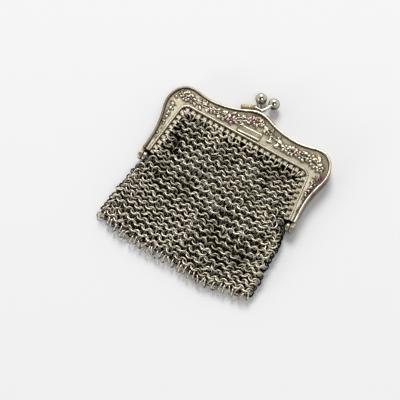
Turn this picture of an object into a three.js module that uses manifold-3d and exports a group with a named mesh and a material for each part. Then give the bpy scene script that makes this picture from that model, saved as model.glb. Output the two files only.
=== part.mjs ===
// A small purse of metal ring mesh with a hinged metal frame, closed and lying on its back.
// Millimetres. X runs along the frame, Y from the hem towards the clasp, Z up from the table.
// While the pieces are made, the plane where the frame's halves meet is at z = 0 and the middle of
// the frame's top edge is near y = 0. The last lines set the whole purse on the table.

import * as THREE from 'three';
import { mergeVertices } from 'three/addons/utils/BufferGeometryUtils.js';
import Module from 'manifold-3d';

const wasm = await Module();
wasm.setup();

// Frame, seen from the front
const frameHalfWidth = 34.2;
const frameHeight = 33.5;
const shoulderWidth = 6.7;
const openingHalfWidth = frameHalfWidth - shoulderWidth;
const openingRadius = 3.2;
const armSpread = 1.9;
const beadDrop = 11.6;
const openingSlope = 0.05;
const flangeWidth = 2.2;

// Frame, across its thickness
const partingGap = 0.4;
const halfDepth = 2.3;
const sideWall = 0.8;
const facePlate = 0.85;
const flangePlate = 0.6;
const flangeDrop = 0.7;
const rimWidth = 1.1;
const rimRound = 0.3;
const coveDepth = 0.45;
const coveShare = 0.2;
const coveRise = 0.05;
const crownShare = 0.5;
const crownDrop = 0.15;
const beadWidth = 0.9;
const beadSink = 0.35;

// Holes that the mesh hangs in
const holePitch = 2.5;
const holeRadius = 0.4;
const holeInset = 1.15;
const holeSides = 4;

// Cast relief on the band
const blossomRadius = 1.5;
const blossomPetals = 5;
const blossomNotch = 0.62;
const leafLength = 2.3;
const leafWidth = 1.0;
const berryRadius = 0.5;
const berrySides = 4;
const blossomRise = 0.35;
const leafRise = 0.25;
const berryRise = 0.3;
const plaqueWidth = 9.6;
const plaqueHeight = 3.1;
const plaqueRise = 0.15;
const plaqueDrop = 9.2;

// Hinges at the ends of the arms
const hingeDrop = 2.1;
const lugRadius = 1.85;
const lugWidth = 1.3;
const lugOverlap = 1.2;
const lugClearance = 0.3;
const rivetRadius = 0.5;
const rivetHeadRadius = 1.0;
const rivetHeadFlat = 0.7;
const rivetHeadDepth = 0.35;
const rivetClearance = 0.2;

// Clasp
const claspShift = -0.4;
const tabLength = 5.7;
const tabWidth = 1.9;
const tabThickness = 0.9;
const tabOffset = 4.4;
const tabSink = 0.35;
const tabClearance = 0.2;
const pinRadius = 0.35;
const pinLength = 1.2;
const armRadius = 0.45;
const ballRadius = 2.1;
const ballSpacing = 5.4;
const ballHeight = 6.6;
const ballLift = 0.3;

// Bag of ring mesh
const bagLength = 56.3;
const bagFlare = 4.5;
const bagHalfWidth = openingHalfWidth + bagFlare;
const bagShift = -1.05;
const bagDepth = 5.0;
const bagWall = 1.3;
const sideSeam = 2.1;
const bagClearance = 0.3;
const toothDepth = 1.4;
const toothPitch = 3.6;
const roundingShare = 0.07;
const sideThickness = 0.35;
const foldDepth = 0.9;
const foldLimit = 0.3;
const hemWall = 3.9;

// How finely curves are divided
const frameSteps = 42;
const holeSteps = 168;
const roomSteps = 24;
const bagRows = 11;
const hollowColumns = 12;
const columnBend = 0.6;
const armSteps = 8;
const armSides = 4;
const roundSides = 10;
const ballSides = 14;
const ballRings = 9;
const searchSteps = 40;
const mergeTolerance = 1e-5;

const silver = { color: 0xc9bfa4, roughness: 0.34, metalness: 1.0 };
const ringMetal = { color: 0xb9b2a2, roughness: 0.38, metalness: 1.0 };
const brass = { color: 0xb3a26e, roughness: 0.3, metalness: 1.0 };

// Right half of the frame, from the middle of its top edge to the end of its arm. The outer edge is
// in shares of the frame's half width and height. The bead round the opening is reached at a stage
// of its path: 0 to 1 along its straight top, 1 to 2 round its corner, 2 to 3 down the arm.
const frameRows = [
  { edgeAcross: 0.0, edgeDown: -0.011, bead: 0.0 },
  { edgeAcross: 0.092, edgeDown: 0.006, bead: 0.123 },
  { edgeAcross: 0.159, edgeDown: 0.036, bead: 0.225 },
  { edgeAcross: 0.27, edgeDown: 0.077, bead: 0.38 },
  { edgeAcross: 0.418, edgeDown: 0.109, bead: 0.574 },
  { edgeAcross: 0.553, edgeDown: 0.117, bead: 0.762 },
  { edgeAcross: 0.664, edgeDown: 0.102, bead: 0.893 },
  { edgeAcross: 0.781, edgeDown: 0.081, bead: 1.0 },
  { edgeAcross: 0.868, edgeDown: 0.095, bead: 1.3 },
  { edgeAcross: 0.935, edgeDown: 0.146, bead: 1.6 },
  { edgeAcross: 0.98, edgeDown: 0.225, bead: 1.85 },
  { edgeAcross: 1.0, edgeDown: 0.32, bead: 2.02 },
  { edgeAcross: 0.993, edgeDown: 0.412, bead: 2.1 },
  { edgeAcross: 0.967, edgeDown: 0.512, bead: 2.22 },
  { edgeAcross: 0.943, edgeDown: 0.63, bead: 2.39 },
  { edgeAcross: 0.932, edgeDown: 0.74, bead: 2.57 },
  { edgeAcross: 0.932, edgeDown: 0.85, bead: 2.76 },
  { edgeAcross: 0.938, edgeDown: 1.0, bead: 3.0 },
];

// Relief of one half. Across and down are shares of the frame's half width and height, size is a
// share of the kind's own size, and turn is in degrees from the X axis.
const reliefRows = [
  { kind: 'leaf', across: -0.9, down: 0.235, size: 1.0, turn: 70 },
  { kind: 'leaf', across: -0.845, down: 0.16, size: 0.9, turn: 25 },
  { kind: 'blossom', across: -0.755, down: 0.215, size: 1.0, turn: 10 },
  { kind: 'leaf', across: -0.66, down: 0.205, size: 1.0, turn: -35 },
  { kind: 'leaf', across: -0.595, down: 0.2, size: 0.9, turn: 40 },
  { kind: 'blossom', across: -0.475, down: 0.225, size: 0.9, turn: 40 },
  { kind: 'leaf', across: -0.39, down: 0.255, size: 0.9, turn: -30 },
  { kind: 'leaf', across: -0.335, down: 0.185, size: 1.0, turn: 75 },
  { kind: 'blossom', across: -0.245, down: 0.23, size: 1.1, turn: 0 },
  { kind: 'leaf', across: -0.255, down: 0.14, size: 0.9, turn: 50 },
  { kind: 'leaf', across: -0.135, down: 0.13, size: 0.9, turn: -20 },
  { kind: 'blossom', across: -0.035, down: 0.115, size: 0.95, turn: 30 },
  { kind: 'blossom', across: 0.075, down: 0.115, size: 0.75, turn: 0 },
  { kind: 'leaf', across: 0.15, down: 0.15, size: 0.9, turn: -35 },
  { kind: 'leaf', across: 0.245, down: 0.265, size: 0.9, turn: 20 },
  { kind: 'berry', across: 0.33, down: 0.285, size: 1.1, turn: 0 },
  { kind: 'leaf', across: 0.35, down: 0.215, size: 0.9, turn: -30 },
  { kind: 'blossom', across: 0.435, down: 0.26, size: 0.9, turn: 20 },
  { kind: 'leaf', across: 0.505, down: 0.22, size: 0.9, turn: 15 },
  { kind: 'blossom', across: 0.58, down: 0.25, size: 0.9, turn: 55 },
  { kind: 'leaf', across: 0.652, down: 0.2, size: 0.9, turn: -15 },
  { kind: 'blossom', across: 0.737, down: 0.235, size: 1.05, turn: 0 },
  { kind: 'leaf', across: 0.82, down: 0.19, size: 1.0, turn: -50 },
  { kind: 'blossom', across: 0.875, down: 0.3, size: 0.95, turn: 35 },
  { kind: 'leaf', across: 0.9, down: 0.4, size: 1.0, turn: 80 },
];

// Berries down each arm, as shares of the frame's height and of the way from its edge to its bead
const berryRows = [
  { side: -1, inward: 0.5, down: 0.33, size: 1.1 },
  { side: -1, inward: 0.5, down: 0.4, size: 1.0 },
  { side: -1, inward: 0.5, down: 0.47, size: 1.1 },
  { side: -1, inward: 0.5, down: 0.535, size: 0.9 },
  { side: -1, inward: 0.5, down: 0.6, size: 0.8 },
  { side: 1, inward: 0.5, down: 0.5, size: 1.0 },
  { side: 1, inward: 0.5, down: 0.565, size: 0.9 },
  { side: 1, inward: 0.5, down: 0.635, size: 0.8 },
];

// A clasp's bent arm from its tab to its ball: shares of the tab's offset from the clasp's middle,
// of the ball's height, and of the way up from the ball's level to the tab's
const armRows = [
  { toTab: 0.58, up: 0.17, level: 1.0 },
  { toTab: 0.36, up: 0.32, level: 1.0 },
  { toTab: 0.0, up: 0.41, level: 0.95 },
  { toTab: -0.35, up: 0.72, level: 0.5 },
];

// The bag's outline: shares of its length, of its half width on each side, and of its depth
const bagRowTable = [
  { down: -0.03, left: 0.84, right: 0.94, depth: 1.0 },
  { down: 0.38, left: 0.84, right: 0.94, depth: 0.97 },
  { down: 0.5, left: 0.905, right: 0.95, depth: 0.93 },
  { down: 0.64, left: 0.955, right: 0.965, depth: 0.88 },
  { down: 0.76, left: 0.995, right: 0.98, depth: 0.84 },
  { down: 0.88, left: 1.04, right: 1.0, depth: 0.8 },
  { down: 0.96, left: 1.05, right: 1.01, depth: 0.76 },
  { down: 1.0, left: 1.03, right: 1.0, depth: 0.5 },
];

// The hem's line: shares of the bag's half width and of its length
const hemRows = [
  { across: -1.0, reach: 0.885 },
  { across: -0.78, reach: 0.932 },
  { across: -0.6, reach: 0.957 },
  { across: -0.25, reach: 0.972 },
  { across: 0.05, reach: 0.976 },
  { across: 0.33, reach: 1.0 },
  { across: 0.53, reach: 0.993 },
  { across: 0.7, reach: 0.974 },
  { across: 1.0, reach: 0.952 },
];

// Soft folds of the front of the bag: where each begins and ends, as shares of its half width and
// length, and its width and depth as shares of the half width and of the fold depth
const foldRows = [
  { fromAcross: -0.8, fromDown: 0.2, toAcross: -0.55, toDown: 0.45, width: 0.07, depth: 1.0 },
  { fromAcross: 0.84, fromDown: 0.3, toAcross: 0.82, toDown: 0.5, width: 0.06, depth: 1.0 },
  { fromAcross: -0.1, fromDown: 0.1, toAcross: 0.1, toDown: 0.45, width: 0.12, depth: 0.35 },
];

function solidOf(geometry) {
  const bare = geometry.clone();
  bare.deleteAttribute('normal');
  bare.deleteAttribute('uv');
  const merged = mergeVertices(bare, mergeTolerance);
  return new wasm.Manifold(new wasm.Mesh({
    numProp: 3,
    vertProperties: new Float32Array(merged.attributes.position.array),
    triVerts: new Uint32Array(merged.index.array),
  }));
}

function geometryOf(solid) {
  const mesh = solid.getMesh();
  const geometry = new THREE.BufferGeometry();
  geometry.setAttribute('position', new THREE.BufferAttribute(mesh.vertProperties, 3));
  geometry.setIndex(new THREE.BufferAttribute(mesh.triVerts, 1));
  geometry.computeVertexNormals();
  return geometry;
}

function joined(solids) {
  return solids.reduce((whole, solid) => whole.add(solid));
}

// A closed body through sections that each hold the same number of points
function loft(sections, capOf) {
  const count = sections[0].length;
  const positions = sections.flat().flatMap((point) => [point.x, point.y, point.z]);
  const faces = [];
  for (let row = 0; row + 1 < sections.length; row += 1) {
    for (let side = 0; side < count; side += 1) {
      const next = (side + 1) % count;
      const here = row * count;
      const there = here + count;
      faces.push(here + side, here + next, there + next);
      faces.push(here + side, there + next, there + side);
    }
  }
  const last = (sections.length - 1) * count;
  for (const [a, b, c] of capOf(sections[0])) {
    faces.push(c, b, a);
  }
  for (const [a, b, c] of capOf(sections[sections.length - 1])) {
    faces.push(last + a, last + b, last + c);
  }
  const geometry = new THREE.BufferGeometry();
  geometry.setAttribute('position', new THREE.Float32BufferAttribute(positions, 3));
  geometry.setIndex(faces);
  return solidOf(geometry);
}

// A column of a table at a place between its rows
function tableAt(rows, key, place, column) {
  const within = THREE.MathUtils.clamp(place, rows[0][key], rows[rows.length - 1][key]);
  const after = Math.max(1, rows.findIndex((row) => row[key] >= within));
  const low = rows[after - 1];
  const high = rows[after];
  const part = (within - low[key]) / (high[key] - low[key]);
  return low[column] + (high[column] - low[column]) * part;
}

// Curves of the frame

const lastRow = frameRows.length - 1;

const edgeCurve = new THREE.CatmullRomCurve3([
  ...frameRows.slice(1).reverse().map((row) => edgePoint(row, -1)),
  ...frameRows.map((row) => edgePoint(row, 1)),
], false, 'centripetal');

function edgePoint(row, side) {
  return new THREE.Vector3(side * row.edgeAcross * frameHalfWidth, -row.edgeDown * frameHeight, 0);
}

// The last share of the edge's curve, between two shares, where a test of its points holds
function edgeShare(from, to, holds) {
  let low = from;
  let high = to;
  for (let step = 0; step < searchSteps; step += 1) {
    const middle = (low + high) / 2;
    if (holds(edgeCurve.getPoint(middle))) {
      low = middle;
    } else {
      high = middle;
    }
  }
  return low;
}

// The bead on the right side, with its top level
function beadPath(stage) {
  const flatEnd = openingHalfWidth - openingRadius;
  const lean = Math.atan2(armSpread, frameHeight - beadDrop - openingRadius);
  if (stage <= 1) {
    return new THREE.Vector3(stage * flatEnd, -beadDrop, 0);
  }
  const turn = Math.PI / 2 + (lean - Math.PI / 2) * Math.min(stage - 1, 1);
  const corner = new THREE.Vector3(
    flatEnd + openingRadius * Math.cos(turn),
    -beadDrop - openingRadius + openingRadius * Math.sin(turn),
    0,
  );
  const armEnd = new THREE.Vector3(openingHalfWidth + armSpread, -frameHeight, 0);
  return stage <= 2 ? corner : corner.lerp(armEnd, stage - 2);
}

// The bead at a share of the way from the left arm's end to the right arm's. Its top slopes a
// little, and the slope fades out down the arms.
function beadPoint(share) {
  const place = Math.min(Math.abs(share * 2 - 1), 1) * lastRow;
  const row = Math.min(Math.floor(place), lastRow - 1);
  const { bead } = frameRows[row];
  const point = beadPath(bead + (frameRows[row + 1].bead - bead) * (place - row));
  const fade = (point.y + frameHeight) / (frameHeight - beadDrop);
  point.x *= share < 0.5 ? -1 : 1;
  point.y -= openingSlope * point.x * fade;
  return point;
}

// Unit vector from the bead towards the middle of the opening
function inwardAt(share) {
  const near = 0.002;
  const from = beadPoint(Math.max(share - near, 0));
  const along = beadPoint(Math.min(share + near, 1)).sub(from);
  return new THREE.Vector3(along.y, -along.x, 0).normalize();
}

function openingPoint(share, inset) {
  return beadPoint(share).addScaledVector(inwardAt(share), inset);
}

const foot = partingGap / 2;
const faceTop = foot + halfDepth;
const bandTop = faceTop - crownDrop;
const flangeTop = faceTop - flangeDrop;
const faceUnder = faceTop - coveDepth - facePlate;

// Section of one frame half: its outer wall, rolled rim, cove, crowned band, bead and flange
function frameSection(share) {
  const edge = edgeCurve.getPoint(share);
  const bead = beadPoint(share);
  const inward = inwardAt(share);
  const across = bead.clone().sub(edge);
  const width = across.length();
  across.normalize();
  const band = width - rimWidth - beadWidth / 2;
  const onBand = (distance, height) => edge.clone().addScaledVector(across, distance).setZ(height);
  const onFlange = (distance, height) => bead.clone().addScaledVector(inward, distance).setZ(height);
  return [
    onBand(0, foot),
    onBand(0, faceTop - rimRound),
    onBand(rimRound, faceTop),
    onBand(rimWidth - rimRound, faceTop),
    onBand(rimWidth, faceTop - coveDepth),
    onBand(rimWidth + band * coveShare, faceTop - coveDepth + coveRise),
    onBand(rimWidth + band * crownShare, bandTop),
    onBand(rimWidth + band, faceTop - beadSink),
    onFlange(-beadWidth / 4, faceTop),
    onFlange(beadWidth / 4, faceTop),
    onFlange(beadWidth / 2, flangeTop),
    onFlange(flangeWidth, flangeTop),
    onFlange(flangeWidth, flangeTop - flangePlate),
    onFlange(-beadWidth / 4, flangeTop - flangePlate),
    onBand(sideWall, faceUnder),
    onBand(sideWall, foot),
  ];
}

function sectionCap(section) {
  const origin = section[0];
  const flat = section.map((point) => new THREE.Vector2(
    Math.hypot(point.x - origin.x, point.y - origin.y),
    point.z,
  ));
  const turn = Math.sign(THREE.ShapeUtils.area(flat));
  return THREE.ShapeUtils.triangulateShape(flat, []).map(([a, b, c]) => (
    Math.sign(THREE.ShapeUtils.area([flat[a], flat[b], flat[c]])) === turn ? [a, b, c] : [c, b, a]
  ));
}

function frameBand() {
  const sections = [];
  for (let step = 0; step <= frameSteps; step += 1) {
    sections.push(frameSection(step / frameSteps));
  }
  return loft(sections, sectionCap);
}

// Holes in the flange, evenly along its length
function flangeHoles() {
  const path = [];
  for (let step = 0; step <= holeSteps; step += 1) {
    path.push(openingPoint(step / holeSteps, holeInset));
  }
  const distances = [0];
  for (let step = 1; step < path.length; step += 1) {
    distances.push(distances[step - 1] + path[step].distanceTo(path[step - 1]));
  }
  const length = distances[distances.length - 1];
  const count = Math.floor(length / holePitch);
  const start = (length - (count - 1) * holePitch) / 2;
  const holes = [];
  for (let hole = 0; hole < count; hole += 1) {
    const want = start + hole * holePitch;
    const after = Math.max(1, distances.findIndex((distance) => distance >= want));
    const part = (want - distances[after - 1]) / (distances[after] - distances[after - 1]);
    const centre = path[after - 1].clone().lerp(path[after], part);
    const cutter = new THREE.CylinderGeometry(holeRadius, holeRadius, flangePlate * 4, holeSides);
    cutter.rotateX(Math.PI / 2);
    cutter.translate(centre.x, centre.y, flangeTop - flangePlate / 2);
    holes.push(solidOf(cutter));
  }
  return joined(holes);
}

// Relief: flat-topped shapes that stand up from the band and are rooted in its plate

function raised(outline, rise, turn, x, y) {
  const geometry = new THREE.ExtrudeGeometry(new THREE.Shape(outline), {
    depth: rise + coveDepth,
    bevelEnabled: false,
  });
  geometry.rotateZ(THREE.MathUtils.degToRad(turn));
  geometry.translate(x, y, bandTop - coveDepth);
  return solidOf(geometry);
}

function star(points, outer, inner) {
  const outline = [];
  for (let point = 0; point < points * 2; point += 1) {
    const angle = (Math.PI * point) / points;
    const reach = point % 2 === 0 ? outer : inner;
    outline.push(new THREE.Vector2(reach * Math.cos(angle), reach * Math.sin(angle)));
  }
  return outline;
}

function diamond(length, width) {
  return [
    new THREE.Vector2(length / 2, 0),
    new THREE.Vector2(0, width / 2),
    new THREE.Vector2(-length / 2, 0),
    new THREE.Vector2(0, -width / 2),
  ];
}

function rectangle(width, height) {
  return [
    new THREE.Vector2(-width / 2, -height / 2),
    new THREE.Vector2(width / 2, -height / 2),
    new THREE.Vector2(width / 2, height / 2),
    new THREE.Vector2(-width / 2, height / 2),
  ];
}

const reliefKinds = {
  blossom: {
    rise: blossomRise,
    outline: (size) => star(blossomPetals, blossomRadius * size, blossomRadius * size * blossomNotch),
  },
  leaf: {
    rise: leafRise,
    outline: (size) => diamond(leafLength * size, leafWidth * size),
  },
  berry: {
    rise: berryRise,
    outline: (size) => star(berrySides / 2, berryRadius * size, berryRadius * size),
  },
};

// A place on an arm's band, at a share of the frame's height
function armPlace(side, down, inward) {
  const share = edgeShare(0.5, side > 0 ? 1 : 0, (point) => point.y > -down * frameHeight);
  return edgeCurve.getPoint(share).lerp(beadPoint(share), inward);
}

function reliefPieces() {
  const pieces = [raised(rectangle(plaqueWidth, plaqueHeight), plaqueRise, 0, 0, -plaqueDrop)];
  for (const { kind, across, down, size, turn } of reliefRows) {
    const { rise, outline } = reliefKinds[kind];
    pieces.push(raised(outline(size), rise, turn, across * frameHalfWidth, -down * frameHeight));
  }
  for (const { side, inward, down, size } of berryRows) {
    const { rise, outline } = reliefKinds.berry;
    const place = armPlace(side, down, inward);
    pieces.push(raised(outline(size), rise, 0, place.x, place.y));
  }
  return joined(pieces);
}

// Hinges: each half has a lug at each arm's end, the front half's outside the back half's

const hingeY = -frameHeight - hingeDrop;
const armEndX = frameRows[lastRow].edgeAcross * frameHalfWidth;
const lugSeam = armEndX - lugWidth;
const outerLugStart = lugSeam + lugClearance / 2;
const innerLugStart = lugSeam - lugClearance / 2 - lugWidth;

function lug(side, inner) {
  const middleX = side * ((inner ? innerLugStart : outerLugStart) + lugWidth / 2);
  const disc = new THREE.CylinderGeometry(lugRadius, lugRadius, lugWidth, roundSides);
  disc.rotateZ(Math.PI / 2);
  disc.translate(middleX, hingeY, 0);
  const height = faceTop - coveDepth - foot;
  const reach = hingeDrop + lugOverlap;
  const bar = new THREE.BoxGeometry(lugWidth, reach, height);
  bar.translate(middleX, hingeY + reach / 2, foot + height / 2);
  return solidOf(disc).add(solidOf(bar));
}

function rivetHole() {
  const radius = rivetRadius + rivetClearance;
  const hole = new THREE.CylinderGeometry(radius, radius, frameHalfWidth * 3, roundSides);
  hole.rotateZ(Math.PI / 2);
  hole.translate(0, hingeY, 0);
  return solidOf(hole);
}

function hingeRivet(side) {
  const inner = innerLugStart - rivetClearance;
  const outer = outerLugStart + lugWidth + rivetClearance;
  const profile = [
    new THREE.Vector2(0, inner - rivetHeadDepth),
    new THREE.Vector2(rivetHeadRadius * rivetHeadFlat, inner - rivetHeadDepth),
    new THREE.Vector2(rivetHeadRadius, inner),
    new THREE.Vector2(rivetRadius, inner),
    new THREE.Vector2(rivetRadius, outer),
    new THREE.Vector2(rivetHeadRadius, outer),
    new THREE.Vector2(rivetHeadRadius * rivetHeadFlat, outer + rivetHeadDepth),
    new THREE.Vector2(0, outer + rivetHeadDepth),
  ];
  const rivet = new THREE.LatheGeometry(profile, roundSides);
  rivet.rotateZ(-Math.PI / 2);
  if (side < 0) {
    rivet.rotateY(Math.PI);
  }
  rivet.translate(0, hingeY, 0);
  return solidOf(rivet);
}

// Clasp: a tab pinned to a half's edge, a bent arm and a ball, made for the front half

const tabLevel = faceTop - tabSink - tabThickness / 2;

function tabPlace(side) {
  const x = claspShift + side * tabOffset;
  const share = edgeShare(0.25, 0.75, (place) => place.x < x);
  const point = edgeCurve.getPoint(share);
  const along = edgeCurve.getTangent(share);
  const outward = new THREE.Vector3(-along.y, along.x, 0).normalize();
  return { point, outward, turn: Math.atan2(along.y, along.x) };
}

function claspPin(side, radius) {
  const { point, outward, turn } = tabPlace(side);
  const pin = new THREE.CylinderGeometry(radius, radius, pinLength + tabClearance, roundSides);
  pin.rotateZ(turn);
  const middle = point.clone().addScaledVector(outward, tabClearance - pinLength / 2);
  pin.translate(middle.x, middle.y, tabLevel);
  return solidOf(pin);
}

function claspArm(side) {
  const { point, outward, turn } = tabPlace(side);
  const tab = new THREE.BoxGeometry(tabLength, tabWidth, tabThickness);
  tab.rotateZ(turn);
  const middle = point.clone().addScaledVector(outward, tabClearance + tabWidth / 2);
  tab.translate(middle.x, middle.y, tabLevel);

  const ballCentre = new THREE.Vector3(claspShift - (side * ballSpacing) / 2, ballHeight, ballLift);
  const places = armRows.map(({ toTab, up, level }) => new THREE.Vector3(
    claspShift + side * toTab * tabOffset,
    up * ballHeight,
    ballLift + level * (tabLevel - ballLift),
  ));
  const path = new THREE.CatmullRomCurve3([...places, ballCentre]);
  const round = new THREE.Shape();
  round.absarc(0, 0, armRadius, 0, Math.PI * 2);
  const arm = new THREE.ExtrudeGeometry(round, {
    steps: armSteps,
    curveSegments: armSides,
    extrudePath: path,
    bevelEnabled: false,
  });

  const ball = new THREE.SphereGeometry(ballRadius, ballSides, ballRings);
  ball.translate(ballCentre.x, ballCentre.y, ballCentre.z);
  return joined([solidOf(tab), solidOf(arm), solidOf(ball), claspPin(side, pinRadius)]);
}

// The back half and its clasp are the front one's, turned over, with the lugs inside and the tab
// on the other side

function turnedOver(solid) {
  return solid.mirror([0, 0, 1]);
}

function frameHalf(claspSide, lugsInside) {
  const band = joined([
    frameBand(),
    reliefPieces(),
    lug(-1, lugsInside),
    lug(1, lugsInside),
  ]);
  return band
    .subtract(flangeHoles())
    .subtract(rivetHole())
    .subtract(claspPin(claspSide, pinRadius + tabClearance));
}

// Bag: two walls of mesh, joined at the sides below the arms and along the hem. Its underside is
// level with the highest relief of the back half, so both lie on the table.

const mouthY = -beadDrop - flangeWidth - bagClearance;
const hingeBottom = hingeY - lugRadius - bagClearance;
const bagFloor = -bandTop - blossomRise;
const bagColumns = Math.round((2 * bagHalfWidth) / toothPitch) * 2;

function bagPoint(down, across) {
  const half = bagHalfWidth * tableAt(bagRowTable, 'down', down, across < 0 ? 'left' : 'right');
  const x = bagShift + across * half;
  const drop = bagLength * tableAt(hemRows, 'across', across, 'reach');
  const y = mouthY - openingSlope * x * (1 - down) - down * drop;
  return new THREE.Vector3(x, y, 0);
}

function bagDepthAt(down) {
  return bagDepth * tableAt(bagRowTable, 'down', down, 'depth');
}

function foldAt(down, across) {
  let dip = 0;
  for (const row of foldRows) {
    const from = new THREE.Vector2(row.fromAcross, row.fromDown);
    const to = new THREE.Vector2(row.toAcross, row.toDown);
    const line = to.clone().sub(from);
    const place = new THREE.Vector2(across, down).sub(from);
    const part = THREE.MathUtils.clamp(place.dot(line) / line.lengthSq(), 0, 1);
    const away = place.sub(line.multiplyScalar(part)).length() / row.width;
    dip += row.depth * foldDepth * Math.exp(-away * away);
  }
  return dip;
}

// Share of the bag's thickness, which falls off in a quarter round at each side
function sideRounding(across) {
  const away = Math.min(1, (1 - Math.abs(across)) / roundingShare);
  return sideThickness + (1 - sideThickness) * Math.sqrt(away * (2 - away));
}

function bagSection(down, teeth) {
  const top = [];
  const bottom = [];
  const fullDepth = bagDepthAt(down);
  const middle = bagFloor + fullDepth / 2;
  const bend = (Math.PI / 2) * columnBend;
  for (let column = 0; column <= bagColumns; column += 1) {
    const across = Math.sin(((column / bagColumns) * 2 - 1) * bend) / Math.sin(bend);
    const point = bagPoint(down, across);
    const depth = fullDepth * sideRounding(across);
    const dip = Math.min(foldAt(down, across), depth * foldLimit);
    point.y += teeth && column % 2 === 0 ? toothDepth : 0;
    top.push(point.clone().setZ(middle + depth / 2 - dip));
    bottom.push(point.clone().setZ(middle - depth / 2));
  }
  return [...bottom, ...top.reverse()];
}

function stripCap(section) {
  const columns = section.length / 2;
  const faces = [];
  for (let column = 0; column + 1 < columns; column += 1) {
    const below = section.length - 1 - column;
    faces.push([column, column + 1, below - 1], [column, below - 1, below]);
  }
  return faces;
}

function bagOutside() {
  const sections = [];
  const first = bagRowTable[0].down;
  for (let row = 0; row <= bagRows; row += 1) {
    sections.push(bagSection(first + ((1 - first) * row) / bagRows, row === bagRows));
  }
  return loft(sections, stripCap);
}

// Section of the room inside, at a share of the bag's length or straight across at one y
function hollowSection(down, y, sideways) {
  const top = [];
  const bottom = [];
  const left = bagPoint(down, -1).x - sideways;
  const right = bagPoint(down, 1).x + sideways;
  const roof = bagFloor + bagDepthAt(down) - bagWall - foldDepth * foldLimit;
  for (let column = 0; column <= hollowColumns; column += 1) {
    const part = column / hollowColumns;
    const place = new THREE.Vector3(left + (right - left) * part, y, 0);
    if (down === 1) {
      place.y = bagPoint(1, part * 2 - 1).y + hemWall;
    }
    top.push(place.clone().setZ(roof));
    bottom.push(place.clone().setZ(bagFloor + bagWall));
  }
  return [...bottom, ...top.reverse()];
}

// The room inside: open above the mouth and at the sides between the arms, closed below them
function bagInside() {
  const seamY = hingeBottom - bagWall;
  const seamDown = (mouthY - seamY) / bagLength;
  const halfDown = (seamDown + 1) / 2;
  return loft([
    hollowSection(0, mouthY + bagLength / 2, bagFlare),
    hollowSection(seamDown, seamY + bagWall, bagFlare),
    hollowSection(seamDown, seamY, -sideSeam),
    hollowSection(halfDown, mouthY - bagLength * halfDown, -sideSeam),
    hollowSection(1, 0, -sideSeam),
  ], stripCap);
}

// Everything inside the frame's opening and below its arms
function bagRoom() {
  const shape = new THREE.Shape();
  const inset = flangeWidth + bagClearance;
  const wide = bagHalfWidth * 1.5;
  const under = mouthY - bagLength * 1.3;
  shape.moveTo(-wide, under);
  shape.lineTo(-wide, hingeBottom);
  shape.lineTo(openingPoint(0, inset).x, hingeBottom);
  for (let step = 0; step <= roomSteps; step += 1) {
    const point = openingPoint(step / roomSteps, inset);
    shape.lineTo(point.x, point.y);
  }
  shape.lineTo(openingPoint(1, inset).x, hingeBottom);
  shape.lineTo(wide, hingeBottom);
  shape.lineTo(wide, under);
  const room = new THREE.ExtrudeGeometry(shape, { depth: bagDepth * 2, bevelEnabled: false });
  room.translate(0, 0, -bagDepth);
  return solidOf(room);
}

function meshBag() {
  return bagOutside().subtract(bagInside()).intersect(bagRoom());
}

function piece(name, solid, finish) {
  const mesh = new THREE.Mesh(geometryOf(solid), new THREE.MeshStandardMaterial(finish));
  mesh.name = name;
  return mesh;
}

const purse = new THREE.Group();
purse.add(
  piece('front_frame', frameHalf(-1, false), silver),
  piece('back_frame', turnedOver(frameHalf(1, true)), silver),
  piece('hinge_rivet_left', hingeRivet(-1), silver),
  piece('hinge_rivet_right', hingeRivet(1), silver),
  piece('clasp_front', claspArm(-1), brass),
  piece('clasp_back', turnedOver(claspArm(1)), brass),
  piece('mesh_bag', meshBag(), ringMetal),
);

// The purse stands with the middle of its base at the origin
const bounds = new THREE.Box3().setFromObject(purse);
const centre = bounds.getCenter(new THREE.Vector3());
purse.position.set(-centre.x, -centre.y, -bounds.min.z);
purse.updateMatrixWorld(true);

export default purse;
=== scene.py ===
"""A small purse of metal ring mesh on a hinged cast frame, lying closed on a pale table.

The sizes below are in millimetres, in the purse's own drawing: x along the frame, y from the hem
towards the clasp with the middle of the frame's top edge near 0, and z up from the table. The
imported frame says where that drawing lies.
"""

import math

import bmesh
import bpy
import numpy as np
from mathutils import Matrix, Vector


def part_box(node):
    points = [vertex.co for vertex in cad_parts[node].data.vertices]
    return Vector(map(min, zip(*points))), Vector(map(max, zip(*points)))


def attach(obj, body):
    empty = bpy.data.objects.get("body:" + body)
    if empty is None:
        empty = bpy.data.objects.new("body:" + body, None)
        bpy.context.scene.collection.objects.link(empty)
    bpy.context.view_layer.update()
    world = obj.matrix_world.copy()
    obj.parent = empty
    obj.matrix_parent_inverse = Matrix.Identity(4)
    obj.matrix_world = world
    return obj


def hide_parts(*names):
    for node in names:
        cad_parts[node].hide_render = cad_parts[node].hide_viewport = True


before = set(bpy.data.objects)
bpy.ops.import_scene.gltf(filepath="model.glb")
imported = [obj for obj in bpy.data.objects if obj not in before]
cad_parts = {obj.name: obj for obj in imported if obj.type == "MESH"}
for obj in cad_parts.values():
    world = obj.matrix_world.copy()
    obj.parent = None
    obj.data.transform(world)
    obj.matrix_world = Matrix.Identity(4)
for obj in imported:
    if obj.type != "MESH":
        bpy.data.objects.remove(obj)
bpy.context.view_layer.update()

MM = 0.001

# Frame, seen from the front
FRAME_HALF_WIDTH = 34.2
FRAME_HEIGHT = 33.5
SHOULDER_WIDTH = 6.7
OPENING_HALF_WIDTH = FRAME_HALF_WIDTH - SHOULDER_WIDTH
OPENING_RADIUS = 3.2
ARM_SPREAD = 1.9
BEAD_DROP = 11.6
OPENING_SLOPE = 0.05
FLANGE_WIDTH = 2.2

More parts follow.
